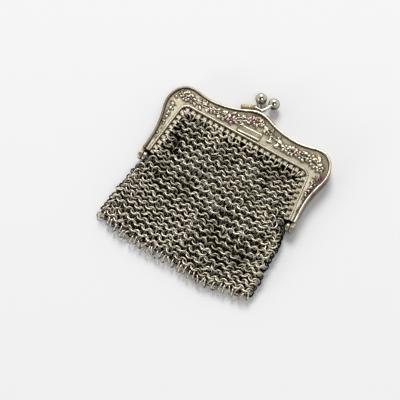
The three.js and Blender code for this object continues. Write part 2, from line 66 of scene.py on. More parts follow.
# Frame, across its thickness
PARTING_GAP = 0.4
HALF_DEPTH = 2.3
SIDE_WALL = 0.8
FACE_PLATE = 0.85
FLANGE_PLATE = 0.6
FLANGE_DROP = 0.7
RIM_WIDTH = 1.1
COVE_DEPTH = 0.45
CROWN_DROP = 0.15
BEAD_WIDTH = 0.9
BEAD_SINK = 0.35
RELIEF_RISE = 0.35
FOOT = PARTING_GAP / 2
FACE_TOP = FOOT + HALF_DEPTH
BAND_TOP = FACE_TOP - CROWN_DROP
FLANGE_TOP = FACE_TOP - FLANGE_DROP
FACE_UNDER = FACE_TOP - COVE_DEPTH - FACE_PLATE
MIDDLE_LEVEL = BAND_TOP + RELIEF_RISE

# Holes that the mesh hangs in
HOLE_PITCH = 2.5
HOLE_RADIUS = 0.4
HOLE_INSET = 1.15
# Steps along the frame for finding directions and the holes' places
NEAR_SHARE = 0.002
HOLE_CHECKS = 1201

# Hinges
HINGE_DROP = 2.1
LUG_RADIUS = 1.85
LUG_WIDTH = 1.3
LUG_CLEARANCE = 0.3
RIVET_RADIUS = 0.5
RIVET_HEAD_RADIUS = 1.0
RIVET_HEAD_DEPTH = 0.35
RIVET_CLEARANCE = 0.2

# Clasp
CLASP_SHIFT = -0.4
TAB_LENGTH = 5.7
TAB_WIDTH = 1.9
BACK_TAB_WIDTH = 1.3
TAB_THICKNESS = 0.9
TAB_OFFSET = 4.4
TAB_SINK = 0.35
TAB_CLEARANCE = 0.2
CLASP_ARM_RADIUS = 0.6
BALL_RADIUS = 2.2
BALL_SPACING = 5.4
BALL_HEIGHT = 6.6
BALL_LIFT = 0.3

# Rings of the mesh
RING_RADIUS = 1.55
WIRE_RADIUS = 0.26
RING_TILT = math.radians(28)
RING_PITCH = 3.7
RINGS_AROUND = 36
RING_ROWS = 38
FIRST_ROW_DROP = 1.9
HEM_RING_DROP = 1.2
SIDE_INSET = 1.0
BAG_LENGTH = 56.3
BAG_CLEARANCE = 0.3
BAG_FLARE = 4.5
BAG_HALF_WIDTH = OPENING_HALF_WIDTH + BAG_FLARE
BAG_SHIFT = -1.05
BACK_LAYER = 1.0
TILT_JITTER = 0.12
PLACE_JITTER = 0.09
# Folds of the front: start, end, width and depth in millimetres
FOLD_ROWS = [
    ((-25.5, -19.0), (-21.5, -27.0), 2.0, 1.3),
    ((24.5, -29.0), (27.5, -38.0), 1.8, 1.3),
    ((-4.0, -17.0), (2.0, -34.0), 3.2, 0.6),
]
# Loose rings at the hem's left corner: places, and which way each faces
CORNER_ROWS = [
    ((-31.9, -57.6, 0.9), (0.25, 0.1, 1.0)),
    ((-33.1, -60.1, 0.55), (-0.2, 0.15, 1.0)),
    ((-32.9, -63.3, 0.5), (0.15, -0.2, 1.0)),
]
# The mesh is squeezed towards its sides by this power of the way there, within these shares
SQUEEZE_POWER = 4
SQUEEZE_RANGE = (-0.3, 0.62)
# Rings that stand closer than their pitch turn sideways by these shares
CROWDED_LEAST = 0.3
YAW_SHARE = 0.8
YAW_LEAN = 0.5
# How much of the bag's bend a fold may take, and how far in millimetres a ring may lap the flange
FOLD_LIMIT = 0.9
FRAME_LAP = 0.9
HINGE_MARGIN = 0.6
EDGE_CHECKS = 241
# Wave lengths and sizes of the mesh's slow drifts
LAY_WAVES = [(34.0, 0.3), (17.0, 0.2), (9.0, 0.12)]
WAVES_PER_LENGTH = 4
WAVE_RISE = 0.5
# Rings in the flange's holes, and rings that close the hem
HANGER_LEAN = math.radians(14)
HANGER_INSET = 1.3
HANGER_DROP = 0.7
HANGER_JITTER = 0.12
HANGER_FREEDOM = 0.15
HEM_RING_LAP = 1.7
HEM_RING_STAGGER = 0.7
HEM_TURN_JITTER = 0.35
HEM_TIP_JITTER = 0.25
# Settling of the rings: points checked round each, the part of a push that moves it, and its homing
RING_CHECKS = 24
MOVE_PART = 3
HOMING = 0.01
SETTLE_STEPS = 140
# Added to a distance that is divided by
TINY = 1e-9
# Past this lean towards y, a ring's first axis is found from x
UPRIGHT_LIMIT = 0.8
RING_SEED = 41
FRONT_RING_SIDES = 24
BACK_RING_SIDES = 20
WIRE_SIDES = 8
# Wear and painted shade of the rings: its range, how far past the layers it rises, and shifts of tone,
# where the back layer's shift is painted shade under the front layer and the hem's lifts the closing
# rings out of that painted shade
WEAR_AND_SHADE_RANGE = (-1, 2)
PROUD_MARGIN = 0.9
TONE_JITTER = 0.08
HEM_TONE = 0.45
BACK_LAYER_SHADE = -0.26
# Where along y the mesh is divided into its upper and lower pieces
SPLIT_LINE = -40
# Rings compared at a time, and how far beyond touching two are still a pair
NEAR_BATCH = 200
NEAR_MARGIN = 0.4

# Camera, fitted to the photo
PHOTO_SIZE = 400
FOCAL_PIXELS = 1620
CAMERA_AZIMUTH = math.radians(28.6)
CAMERA_ELEVATION = math.radians(66.5)
CAMERA_DISTANCE = 600.0
AIM = (-4.013, -40.308)
SENSOR_WIDTH = 36.0

# Right half of the frame, as shares of its half width and height, with the stage of the bead's
# path: 0 to 1 along its straight top, 1 to 2 round its corner, 2 to 3 down the arm
FRAME_ROWS = [
    # across, down, bead
    (0.0, -0.011, 0.0),
    (0.092, 0.006, 0.123),
    (0.159, 0.036, 0.225),
    (0.27, 0.077, 0.38),
    (0.418, 0.109, 0.574),
    (0.553, 0.117, 0.762),
    (0.664, 0.102, 0.893),
    (0.781, 0.081, 1.0),
    (0.868, 0.095, 1.3),
    (0.935, 0.146, 1.6),
    (0.98, 0.225, 1.85),
    (1.0, 0.32, 2.02),
    (0.993, 0.412, 2.1),
    (0.967, 0.512, 2.22),
    (0.943, 0.63, 2.39),
    (0.932, 0.74, 2.57),
    (0.932, 0.85, 2.76),
    (0.938, 1.0, 3.0),
]

# The bag's sides, as shares of its half width, and the level of its front layer in millimetres
BAG_ROWS = [
    # down, left, right, front level
    (0.0, 1.0, 1.0, 4.2),
    (0.2, 0.97, 0.99, 4.1),
    (0.34, 0.91, 0.95, 3.95),
    (0.42, 0.88, 0.94, 3.8),
    (0.52, 0.92, 0.95, 3.5),
    (0.64, 0.955, 0.965, 3.25),
    (0.76, 0.995, 0.98, 3.1),
    (0.88, 1.04, 1.0, 2.95),
    (1.0, 1.045, 1.005, 2.85),
]

# The hem's line: shares of the bag's half width and of its length
HEM_ROWS = [
    # across, reach
    (-1.0, 0.885),
    (-0.78, 0.932),
    (-0.6, 0.957),
    (-0.25, 0.972),
    (0.05, 0.976),
    (0.33, 1.0),
    (0.53, 0.993),
    (0.7, 0.974),
    (1.0, 0.952),
]

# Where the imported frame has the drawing's zero
front_low, front_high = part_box("front_frame")
PLACE_X = (front_low.x + front_high.x) / 2 / MM
PLACE_Y = front_high.y / MM + FRAME_ROWS[0][1] * FRAME_HEIGHT

# Hinge lugs
HINGE_Y = -FRAME_HEIGHT - HINGE_DROP
ARM_END_X = FRAME_ROWS[-1][0] * FRAME_HALF_WIDTH
LUG_SEAM = ARM_END_X - LUG_WIDTH
OUTER_LUG_START = LUG_SEAM + LUG_CLEARANCE / 2
INNER_LUG_START = LUG_SEAM - LUG_CLEARANCE / 2 - LUG_WIDTH
LUG_EDGE = 0.3
LUG_ROUND_STEPS = 5
LUG_SIDES = 48
LUG_JOIN = 1.2
RIVET_SIDES = 32
RIVET_HEAD_STEPS = 7
RIVET_HEAD_START = 0.08

# Rest of the clasp
TAB_LEVEL = FACE_TOP - TAB_SINK - TAB_THICKNESS / 2
# Painted shade on a ball: its sides are painted dark and dull and its polished top bright, by how far
# each point faces up
BALL_LEVELS = (0.2, 0.68)
BALL_SHADING = (0.14, 1.0)
TAB_WORN = 0.08
TAB_EDGE = 0.22
NEAR_CHECKS = 5
PIN_GRID = (24, 14)
BALL_GRID = (40, 24)
PIN_RADIUS = 0.55
PIN_FLATNESS = 0.45
PIN_SHIFT = 0.4
PIN_SINK = 0.05
PIN_ACROSS = 0.6
PIN_WORN = 0.4
CLASP_ARM_STEPS = 60
CLASP_ARM_SIDES = 20
# Stretch of the frame's edge that the clasp is on, and how finely it is searched
TOP_SHARES = (0.3, 0.7)
TOP_CHECKS = 2000
# Bent arm: shares of the tab's offset, of the ball's height and of the way from the ball's level to
# the tab's
ARM_ROWS = [
    (0.58, 0.2, 1.0),
    (0.36, 0.19, 1.0),
    (0.0, 0.2, 0.97),
    (-0.27, 0.38, 0.85),
    (-0.47, 0.75, 0.5),
]

# Motifs on the band: across and down are shares of the frame's half width and height, size is a
# share of the kind's own size, and turn is in degrees
RELIEF_ROWS = [
    ("berry", -0.915, 0.27, 0.9, 0),
    ("leaf", -0.9, 0.15, 0.8, 60),
    ("blossom", -0.87, 0.215, 0.75, 50),
    ("leaf", -0.82, 0.15, 0.8, -20),
    ("blossom", -0.755, 0.215, 1.0, 10),
    ("leaf", -0.66, 0.205, 1.0, -35),
    ("leaf", -0.595, 0.2, 0.9, 40),
    ("blossom", -0.475, 0.225, 0.9, 40),
    ("leaf", -0.39, 0.255, 0.9, -30),
    ("leaf", -0.335, 0.185, 1.0, 75),
    ("blossom", -0.245, 0.23, 1.1, 0),
    ("leaf", -0.255, 0.14, 0.9, 50),
    ("leaf", -0.135, 0.13, 0.9, -20),
    ("blossom", -0.035, 0.115, 0.95, 30),
    ("blossom", 0.075, 0.115, 0.75, 0),
    ("leaf", 0.15, 0.15, 0.9, -35),
    ("leaf", 0.245, 0.265, 0.9, 20),
    ("berry", 0.33, 0.285, 1.1, 0),
    ("leaf", 0.35, 0.215, 0.9, -30),
    ("blossom", 0.435, 0.26, 0.9, 20),
    ("leaf", 0.505, 0.22, 0.9, 15),
    ("blossom", 0.58, 0.25, 0.9, 55),
    ("leaf", 0.652, 0.2, 0.9, -15),
    ("blossom", 0.737, 0.235, 1.05, 0),
    ("leaf", 0.82, 0.19, 1.0, -50),
    ("blossom", 0.875, 0.3, 0.95, 35),
    ("leaf", 0.9, 0.4, 1.0, 80),
]

# Berries down the arms: side, share of the frame's height, and size
BERRY_ROWS = [
    (-1, 0.33, 1.1),
    (-1, 0.4, 1.0),
    (-1, 0.47, 1.1),
    (-1, 0.535, 0.9),
    (-1, 0.6, 0.8),
    (1, 0.5, 1.0),
    (1, 0.565, 0.9),
    (1, 0.635, 0.8),
]
# Forms of the relief: lengths and rises in millimetres, the rest as shares and powers
BLOSSOM_RADIUS = 1.95
BLOSSOM_RISE = 0.5
PETALS = 5
PETAL_NOTCH = 0.55
PETAL_POINT = 0.7
PETAL_CROWN = 1.6
PETAL_SEAM = 0.35
PETAL_SEAM_CURVE = 0.55
PETAL_CUP = 0.62
BUD_RADIUS = 0.27
DITCH_RADIUS = 0.31
DITCH_WIDTH = 0.06
DITCH_DEPTH = 0.35
LEAF_LENGTH = 3.1
LEAF_WIDTH = 1.5
LEAF_RISE = 0.42
LEAF_POINT = 1.7
LEAF_CROWN = 1.4
LEAF_SLOPE = 0.2
LEAF_TALLEST = 1.1
VEIN_WIDTH = 0.09
VEIN_DEPTH = 0.5
RIB_HEIGHT = 0.12
RIB_SLANT = 1.2
RIB_SPACING = 0.42
RIB_REACH = 0.8
BERRY_RADIUS = 0.75
BERRY_RISE = 0.42
STEM_RADIUS = 0.26
STEM_RISE = 0.26
STEM_SAG = 0.9
SECOND_STEM = 0.6
SPRIG_PARTS = (0.22, 0.36, 0.5, 0.64, 0.78)
SPRIG_REACH = 0.75
SPRIG_SIZE = 0.7
SPRIG_TURN = 40
SEED_SEED = 5
SEED_COUNT = 110
SEED_SPREAD = 0.85
SEED_SIZE = (0.3, 0.65)
ARM_SEED_COUNT = 50
ARM_SEED_DOWN = (0.3, 0.85)
ARM_SEED_PARTS = (0.35, 0.7)
ARM_CHECKS = 400
MOTIF_REACH = 1.4
# Added to a leaf's width, which is nothing at its tips
SMALL = 1e-6
GROUND_DROP = 0.15
# Purple stains: across and down as shares, and reach in millimetres
STAIN_ROWS = [
    (-0.245, 0.23, 2.0),
    (-0.02, 0.12, 1.8),
    (-0.755, 0.215, 1.2),
    (0.58, 0.25, 1.2),
    (0.95, 0.42, 2.2),
    (0.93, 0.6, 1.6),
]
PLAQUE_WIDTH = 9.6
PLAQUE_HEIGHT = 3.1
PLAQUE_DROP = 9.2
PLAQUE_RISE = 0.2
PLAQUE_BORDER = 0.48
PLAQUE_BORDER_RISE = 0.2
PLAQUE_BORDER_SOFTNESS = 2.2
PLAQUE_CORNER = 0.6
PLAQUE_EDGE = 0.12

# Grid, wear and painted light of one half of the frame
PIT_CROWDING = 3.3
PIT_HEIGHT = 2.6
TOP_SHINE = 0.8
# Painted highlight on the rolled rim, from its outer side to its inner one, brightest on its crown
RIM_PLACES = (0, 1, 3, 5, 6)
RIM_HIGHLIGHT = (0.25, 0.5, 1.0, 0.7, 0.3)
# and how much of that painted highlight is kept along the frame, at places across it: less on the left
# side, as painted reflection
RIM_SIDES = (-34, -20, -2, 10)
RIM_REFLECTION = (0.35, 0.5, 0.8, 1.0)
# Share of the band across which the cove's painted shade fades out
COVE_SHADE_REACH = 0.42
FLANGE_WORN = 0.5
HOLE_STAIN = 0.5
ALONG_STEPS = 1050
RIM_STEPS = 8
COVE_STEPS = 7
BAND_STEPS = 44
BEAD_STEPS = 8
FLANGE_STEPS = 8
RIM_ROLL = 0.3
CROWN_START = 0.03
CROWN_REACH = 0.4
FALL_START = 0.55
FALL_REACH = 0.45
WALL_TOP_DROP = 0.45
FLANGE_EDGE = 0.1
CUTTER_SIDES = 14

# How bright each zone of the frame is painted, from dark at 0 to bright at 1: its wear, and in the cove
# painted shade
WALL_WORN = 0.55
# The cove's level is painted shade of its concave face
COVE_SHADE = 0.28
BAND_WORN = 0.22
BEAD_WORN = 0.6
BEAD_FOOT_WORN = 0.25
INSIDE_WORN = 0.15
# Points of a section that lie inside the frame, counted from its end
INSIDE_COLUMNS = 4
RIVET_WORN = 0.6
# Shares of the band over which its relief rises from the cove and falls to the bead
RELIEF_START = 0.1
RELIEF_END = 0.06
# Reaches in grid steps over which the relief's crowding is averaged
CROWD_REACHES = (3, 8)


def angles(count):
    return np.linspace(0, 2 * math.pi, count, endpoint=False)


def circles(turn, one, two):
    """Unit circles in the planes of pairs of directions, at the given angles."""
    return np.cos(turn)[None, :, None] * one[:, None] + np.sin(turn)[None, :, None] * two[:, None]


def column(rows, key, place, name):
    """One column of a table of rows at places between its rows."""
    table = np.array(rows)
    return np.interp(place, table[:, key], table[:, name])


# Curves of the frame

def frame_curve(shares):
    """Outer edge of the frame at shares of the way from the left arm's end to the right arm's."""
    right = [(row[0] * FRAME_HALF_WIDTH, -row[1] * FRAME_HEIGHT) for row in FRAME_ROWS]
    left = [(-x, y) for x, y in right[:0:-1]]
    points = np.array(left + right)
    ends = np.vstack([2 * points[0] - points[1], points, 2 * points[-1] - points[-2]])
    place = np.clip(shares, 0, 1) * (len(points) - 1)
    row = np.minimum(place.astype(int), len(points) - 2)
    part = (place - row)[:, None]
    before, start, end, after = (ends[row + n] for n in range(4))
    bend_in = knot_tangent(before, start, end)
    bend_out = knot_tangent(start, end, after, at_end=True)
    return (
        (2 * part**3 - 3 * part**2 + 1) * start
        + (part**3 - 2 * part**2 + part) * bend_in
        + (3 * part**2 - 2 * part**3) * end
        + (part**3 - part**2) * bend_out
    )


def knot_tangent(one, two, three, at_end=False):
    """Centripetal tangent at the middle of three points, for the stretch after or before it."""
    first = np.sqrt(np.linalg.norm(two - one, axis=1))[:, None]
    second = np.sqrt(np.linalg.norm(three - two, axis=1))[:, None]
    stretch = first if at_end else second
    slope = (two - one) / first - (three - one) / (first + second) + (three - two) / second
    return slope * stretch


def bead_path(stage):
    """The bead on the right side with its top level, at stages of its path."""
    flat_end = OPENING_HALF_WIDTH - OPENING_RADIUS
    lean = math.atan2(ARM_SPREAD, FRAME_HEIGHT - BEAD_DROP - OPENING_RADIUS)
    turn = math.pi / 2 + (lean - math.pi / 2) * np.clip(stage - 1, 0, 1)
    corner = np.stack([
        flat_end + OPENING_RADIUS * np.cos(turn),
        -BEAD_DROP - OPENING_RADIUS + OPENING_RADIUS * np.sin(turn),
    ], -1)
    arm_end = np.array([OPENING_HALF_WIDTH + ARM_SPREAD, -FRAME_HEIGHT])
    down_arm = np.clip(stage - 2, 0, 1)[:, None]
    point = corner + (arm_end - corner) * down_arm
    on_top = stage <= 1
    point[on_top, 0] = stage[on_top] * flat_end
    point[on_top, 1] = -BEAD_DROP
    return point


def bead_curve(shares):
    last = len(FRAME_ROWS) - 1
    place = np.minimum(np.abs(shares * 2 - 1), 1) * last
    stage = np.interp(place, np.arange(last + 1), [row[2] for row in FRAME_ROWS])
    point = bead_path(stage)
    fade = (point[:, 1] + FRAME_HEIGHT) / (FRAME_HEIGHT - BEAD_DROP)
    point[:, 0] *= np.where(shares < 0.5, -1, 1)
    point[:, 1] -= OPENING_SLOPE * point[:, 0] * fade
    return point


def inward(shares):
    """Unit vectors from the bead towards the middle of the opening."""
    after = bead_curve(np.minimum(shares + NEAR_SHARE, 1))
    before = bead_curve(np.maximum(shares - NEAR_SHARE, 0))
    along = after - before
    normal = np.stack([along[:, 1], -along[:, 0]], -1)
    return normal / np.linalg.norm(normal, axis=1)[:, None]


def flange_holes():
    """Places of the holes and the inward direction at each."""
    shares = np.linspace(0, 1, HOLE_CHECKS)
    path = bead_curve(shares) + inward(shares) * HOLE_INSET
    distance = np.r_[0, np.cumsum(np.linalg.norm(np.diff(path, axis=0), axis=1))]
    count = int(distance[-1] / HOLE_PITCH)
    start = (distance[-1] - (count - 1) * HOLE_PITCH) / 2
    at = np.interp(start + np.arange(count) * HOLE_PITCH, distance, shares)
    return bead_curve(at) + inward(at) * HOLE_INSET, inward(at)


# Rings of the mesh

def bag_place(down, across):
    """Points of the bag's outline sheet: down its length and across from its left side to its right."""
    half = BAG_HALF_WIDTH * np.where(
        across < 0, column(BAG_ROWS, 0, down, 1), column(BAG_ROWS, 0, down, 2))
    x = BAG_SHIFT + across * (half - SIDE_INSET)
    hem = BAG_LENGTH * column(HEM_ROWS, 0, across, 1) - HEM_RING_DROP - RING_RADIUS - WIRE_RADIUS
    first = HOLE_INSET + FIRST_ROW_DROP
    top = -BEAD_DROP - first - OPENING_SLOPE * x
    bottom = -BEAD_DROP - FLANGE_WIDTH - BAG_CLEARANCE - hem
    return np.stack([x, top + (bottom - top) * down], -1)


def ring_lattice(random):
    """Centres and outward normals of the linked rings, with each one's row and column.

    The rings run in rows round a flat tube. Every second row leans the other way, so that its
    rings pass through those of the rows above and below."""
    row, place = np.meshgrid(np.arange(RING_ROWS), np.arange(RINGS_AROUND), indexing="ij")
    row = row.ravel()
    place = place.ravel()
    down = row / (RING_ROWS - 1)
    half_count = RINGS_AROUND / 2
    on_back = place >= half_count
    along = (place % half_count + 0.25 + 0.5 * (row % 2)) / half_count * 2 - 1
    along = np.where(on_back, -along, along)
    front_level = column(BAG_ROWS, 0, down, 3)
    bend = (front_level - BACK_LAYER) / 2
    left = BAG_HALF_WIDTH * column(BAG_ROWS, 0, down, 1) - SIDE_INSET
    right = BAG_HALF_WIDTH * column(BAG_ROWS, 0, down, 2) - SIDE_INSET
    arc = bend * math.pi / 2
    half_length = (left + right) / 2 - bend + arc
    natural = RING_PITCH * half_count / 2
    order = SQUEEZE_POWER + 1
    squeeze = np.clip(order * (1 - half_length / natural), *SQUEEZE_RANGE)
    reach = along * (1 - squeeze * along**SQUEEZE_POWER / order) / (1 - squeeze / order)
    distance = np.abs(reach) * half_length
    flat = half_length - arc
    past = np.clip((distance - flat) / bend, 0, math.pi / 2)
    side = np.sign(reach)
    across_mm = np.minimum(distance, flat) + bend * np.sin(past)
    across = side * across_mm / (flat + bend)
    spot = bag_place(down, across)
    facing = np.where(on_back, -1.0, 1.0)
    level = BACK_LAYER + bend + facing * bend * np.cos(past)
    level -= np.where(on_back, 0, np.minimum(fold_dip(spot), bend * FOLD_LIMIT))
    centre = np.column_stack([spot, level])
    outward = np.column_stack([side * np.sin(past), np.zeros(len(row)), facing * np.cos(past)])
    lean = np.where(row % 2 == 0, -RING_TILT, RING_TILT)
    downward = np.array([0.0, -1.0, 0.0])
    normal = outward * np.cos(lean)[:, None] + downward * np.sin(lean)[:, None]
    pitch = RING_PITCH * (1 - squeeze * along**SQUEEZE_POWER) / (1 - squeeze / order)
    yaw = side * np.arccos(np.clip(pitch / RING_PITCH, CROWDED_LEAST, 1)) * YAW_SHARE
    sideways = np.cross(downward, outward)
    normal = normal + sideways * np.tan(yaw)[:, None] * facing[:, None] * YAW_LEAN
    centre += lay_of_mesh(centre, random)
    normal += random.normal(0, TILT_JITTER, normal.shape)
    centre += random.normal(0, PLACE_JITTER, centre.shape)
    return centre, unit(normal), row, place


def fold_dip(spot):
    """How far the mesh sinks in its folds."""
    dip = np.zeros(len(spot))
    for start, end, width, depth in FOLD_ROWS:
        start = np.array(start)
        line = np.array(end) - start
        part = np.clip((spot - start) @ line / (line @ line), 0, 1)
        away = np.linalg.norm(spot - start - part[:, None] * line, axis=1) / width
        dip += depth * np.exp(-away**2)
    return dip


def lay_of_mesh(centre, random):
    """Slow drifts of the sheet, so that its rows aren't quite straight or level."""
    drift = np.zeros_like(centre)
    for length, size in LAY_WAVES:
        for _ in range(WAVES_PER_LENGTH):
            heading = random.uniform(0, math.pi)
            phase = random.uniform(0, 2 * math.pi)
            along = centre[:, 0] * math.cos(heading) + centre[:, 1] * math.sin(heading)
            wave = np.sin(2 * math.pi * along / length + phase)
            drift += wave[:, None] * random.normal(0, size, 3) * np.array([1, 1, WAVE_RISE])
    return drift


def unit(vectors):
    return vectors / np.linalg.norm(vectors, axis=-1, keepdims=True)


def inside_opening(centre):
    """Rings that aren't where the frame's arms and flange are."""
    shares = np.linspace(0, 1, EDGE_CHECKS)
    rim = bead_curve(shares)
    into = inward(shares)
    hinge_bottom = -FRAME_HEIGHT - HINGE_DROP - LUG_RADIUS
    nearest = np.argmin(np.linalg.norm(centre[:, None, :2] - rim[None], axis=2), axis=1)
    clear = np.einsum("ij,ij->i", centre[:, :2] - rim[nearest], into[nearest])
    free = clear > FLANGE_WIDTH + RING_RADIUS - FRAME_LAP
    return free | (centre[:, 1] < hinge_bottom - HINGE_MARGIN)


def near_pairs(centre):
    """Pairs of rings near enough to touch."""
    pairs = []
    for start in range(0, len(centre), NEAR_BATCH):
        batch = centre[start:start + NEAR_BATCH]
        distance = np.linalg.norm(batch[:, None] - centre[None], axis=2)
        one, two = np.nonzero(distance < 2 * (RING_RADIUS + WIRE_RADIUS) + NEAR_MARGIN)
        pairs.append(np.column_stack([one + start, two]))
    pairs = np.concatenate(pairs)
    return pairs[pairs[:, 0] != pairs[:, 1]]


def hanger_rings(random):
    """Rings that hang in the flange's holes, nearly upright, and close round its edge."""
    holes, into = flange_holes()
    along = np.column_stack([-into[:, 1], into[:, 0]])
    side = np.where(holes[:, 0] < 0, 1.0, -1.0)
    rings = []
    for upward in (1, -1):
        level = MIDDLE_LEVEL + upward * (FLANGE_TOP - FLANGE_PLATE / 2)
        lean = HANGER_LEAN + random.normal(0, HANGER_JITTER, len(holes))
        spot = holes + into * HANGER_INSET
        centre = np.column_stack([spot, np.full(len(holes), level - upward * HANGER_DROP)])
        normal = np.column_stack([along * np.cos(lean)[:, None], upward * side * np.sin(lean)])
        rings.append((centre, normal))
    return rings


def hem_rings(random):
    """Upright rings that close the hem, each through a front and a back ring."""
    count = RINGS_AROUND
    across = (np.arange(count) + 0.5) / count * 2 - 1
    spot = bag_place(np.ones(count), across)
    spot[:, 1] -= HEM_RING_LAP - HEM_RING_STAGGER * (np.arange(count) % 2)
    level = (column(BAG_ROWS, 0, 1.0, 3) + BACK_LAYER) / 2
    centre = np.column_stack([spot, np.full(count, level)])
    turn = random.normal(0, HEM_TURN_JITTER, count)
    tip = random.normal(0, HEM_TIP_JITTER, count)
    normal = np.column_stack([np.cos(turn), np.sin(turn), np.sin(tip)])
    return centre, unit(normal)


def ring_axes(normal):
    upright = np.abs(normal[:, 1:2]) < UPRIGHT_LIMIT
    helper = np.where(upright, [[0.0, 1.0, 0.0]], [[1.0, 0.0, 0.0]])
    first = unit(np.cross(helper, normal))
    return first, np.cross(normal, first)


def settle(centre, normal, pairs, freedom, steps):
    """Moves and turns stiff rings until their wires only touch."""
    home = centre.copy()
    turn = angles(RING_CHECKS)
    wire = 2 * WIRE_RADIUS
    one, two = pairs.T
    for _ in range(steps):
        first, second = ring_axes(normal)
        arms = RING_RADIUS * circles(turn, first[one], second[one])
        offset = centre[one][:, None] + arms - centre[two][:, None]
        height = np.einsum("ijk,ik->ij", offset, normal[two])
        radial = offset - height[:, :, None] * normal[two][:, None]
        reach = np.linalg.norm(radial, axis=2) + TINY
        gap = np.sqrt(height**2 + (reach - RING_RADIUS) ** 2)
        deepest = np.argmin(gap, axis=1)
        pick = np.arange(len(one))
        gap = gap[pick, deepest]
        touch = gap < wire
        near_arm = radial[pick, deepest] * (RING_RADIUS / reach[pick, deepest])[:, None]
        far_arm = arms[pick, deepest]
        away = (offset[pick, deepest] - near_arm) / (gap[:, None] + TINY)
        push = away * np.where(touch, wire - gap, 0)[:, None] / 2
        move = np.zeros_like(centre)
        spin = np.zeros_like(centre)
        np.add.at(move, one, push / MOVE_PART)
        np.add.at(move, two, -push / MOVE_PART)
        np.add.at(spin, one, np.cross(far_arm, push) * 2 / (MOVE_PART * RING_RADIUS**2))
        np.add.at(spin, two, -np.cross(near_arm, push) * 2 / (MOVE_PART * RING_RADIUS**2))
        centre = centre + move * freedom[:, None] + (home - centre) * HOMING
        low = WIRE_RADIUS + RING_RADIUS * np.sqrt(np.clip(1 - normal[:, 2] ** 2, 0, 1))
        centre[:, 2] = np.maximum(centre[:, 2], low)
        normal = unit(normal + np.cross(spin * freedom[:, None], normal))
    return centre, normal


# Meshes from arrays

def add_layer(mesh, name, values):
    layer = mesh.attributes.new(name, "FLOAT", "POINT")
    layer.data.foreach_set("value", values.astype(np.float32))


def linked(name, mesh):
    piece = bpy.data.objects.new(name, mesh)
    bpy.context.scene.collection.objects.link(piece)
    return piece


def mesh_object(name, points, faces, wear_and_shade):
    """An object of four-sided faces, with each point's wear and painted shade kept as an attribute."""
    mesh = bpy.data.meshes.new(name)
    mesh.vertices.add(len(points))
    mesh.vertices.foreach_set("co", (points * MM).astype(np.float32).ravel())
    mesh.loops.add(faces.size)
    mesh.loops.foreach_set("vertex_index", faces.astype(np.int32).ravel())
    mesh.polygons.add(len(faces))
    starts = np.arange(len(faces), dtype=np.int32) * faces.shape[1]
    mesh.polygons.foreach_set("loop_start", starts)
    add_layer(mesh, "wear_and_shade", wear_and_shade)
    mesh.update(calc_edges=True)
    mesh.validate()
    return linked(name, mesh)


def grid_faces(rows, columns, wrap_rows, wrap_columns):
    row = np.arange(rows if wrap_rows else rows - 1)
    side = np.arange(columns if wrap_columns else columns - 1)
    row, side = np.meshgrid(row, side, indexing="ij")
    below = (row + 1) % rows
    beside = (side + 1) % columns
    return np.stack([
        row * columns + side,
        below * columns + side,
        below * columns + beside,
        row * columns + beside,
    ], -1).reshape(-1, 4)


def ring_mesh(name, centre, normal, middle, tone_and_shade, sides):
    """Round wire rings as one mesh. They are painted bright where they stand proud of the sheet and dark
    towards the middle between its two layers: wear on the proud wire, and painted shade between the
    layers.
    """
    first, second = ring_axes(normal)
    around = angles(sides)
    across = angles(WIRE_SIDES)
    spoke = circles(around, first, second)
    wire = (
        np.cos(across)[None, None, :, None] * spoke[:, :, None]
        + np.sin(across)[None, None, :, None] * normal[:, None, None]
    )
    points = centre[:, None, None] + RING_RADIUS * spoke[:, :, None] + WIRE_RADIUS * wire
    faces = grid_faces(sides, WIRE_SIDES, True, True)
    count = sides * WIRE_SIDES
    faces = (faces[None] + np.arange(len(centre))[:, None, None] * count).reshape(-1, 4)
    # Wire near the middle between the two layers is painted dark as shade inside the bag, and wire
    # standing proud is bright
    proud = np.abs(points[..., 2] - middle[:, None, None, 0]) / middle[:, None, None, 1]
    wear_and_shade = np.clip(proud + tone_and_shade[:, None, None], *WEAR_AND_SHADE_RANGE)
    return mesh_object(name, points.reshape(-1, 3), faces, wear_and_shade.ravel())


def placed(points):
    """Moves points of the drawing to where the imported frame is."""
    return points + np.array([PLACE_X, PLACE_Y, 0.0])


# Relief of the frame: heights in millimetres at points of the drawing


def local(points, centre, turn):
    angle = math.radians(turn)
    x, y = (points - centre).T
    return (
        x * math.cos(angle) + y * math.sin(angle),
        -x * math.sin(angle) + y * math.cos(angle),
    )


def dome(share):
    return np.sqrt(np.clip(1 - share**2, 0, 1))


def blossom(points, centre, size, turn):
    """Five cupped petals round a bud."""
    x, y = local(points, centre, turn)
    radius = BLOSSOM_RADIUS * size
    reach = np.hypot(x, y) / radius
    angle = np.arctan2(y, x) * PETALS / 2
    petal = np.abs(np.cos(angle))
    outline = PETAL_NOTCH + (1 - PETAL_NOTCH) * petal**PETAL_POINT
    share = np.clip(reach / outline, 0, 1)
    seam = PETAL_SEAM + (1 - PETAL_SEAM) * petal**PETAL_SEAM_CURVE
    body = dome(share**PETAL_CROWN) * seam * (PETAL_CUP + (1 - PETAL_CUP) * share)
    bud = dome(np.clip(reach / BUD_RADIUS, 0, 1))
    ditch = np.exp(-((reach - DITCH_RADIUS) / DITCH_WIDTH) ** 2) * DITCH_DEPTH
    return BLOSSOM_RISE * np.clip(np.maximum(body - ditch, bud), 0, 1)


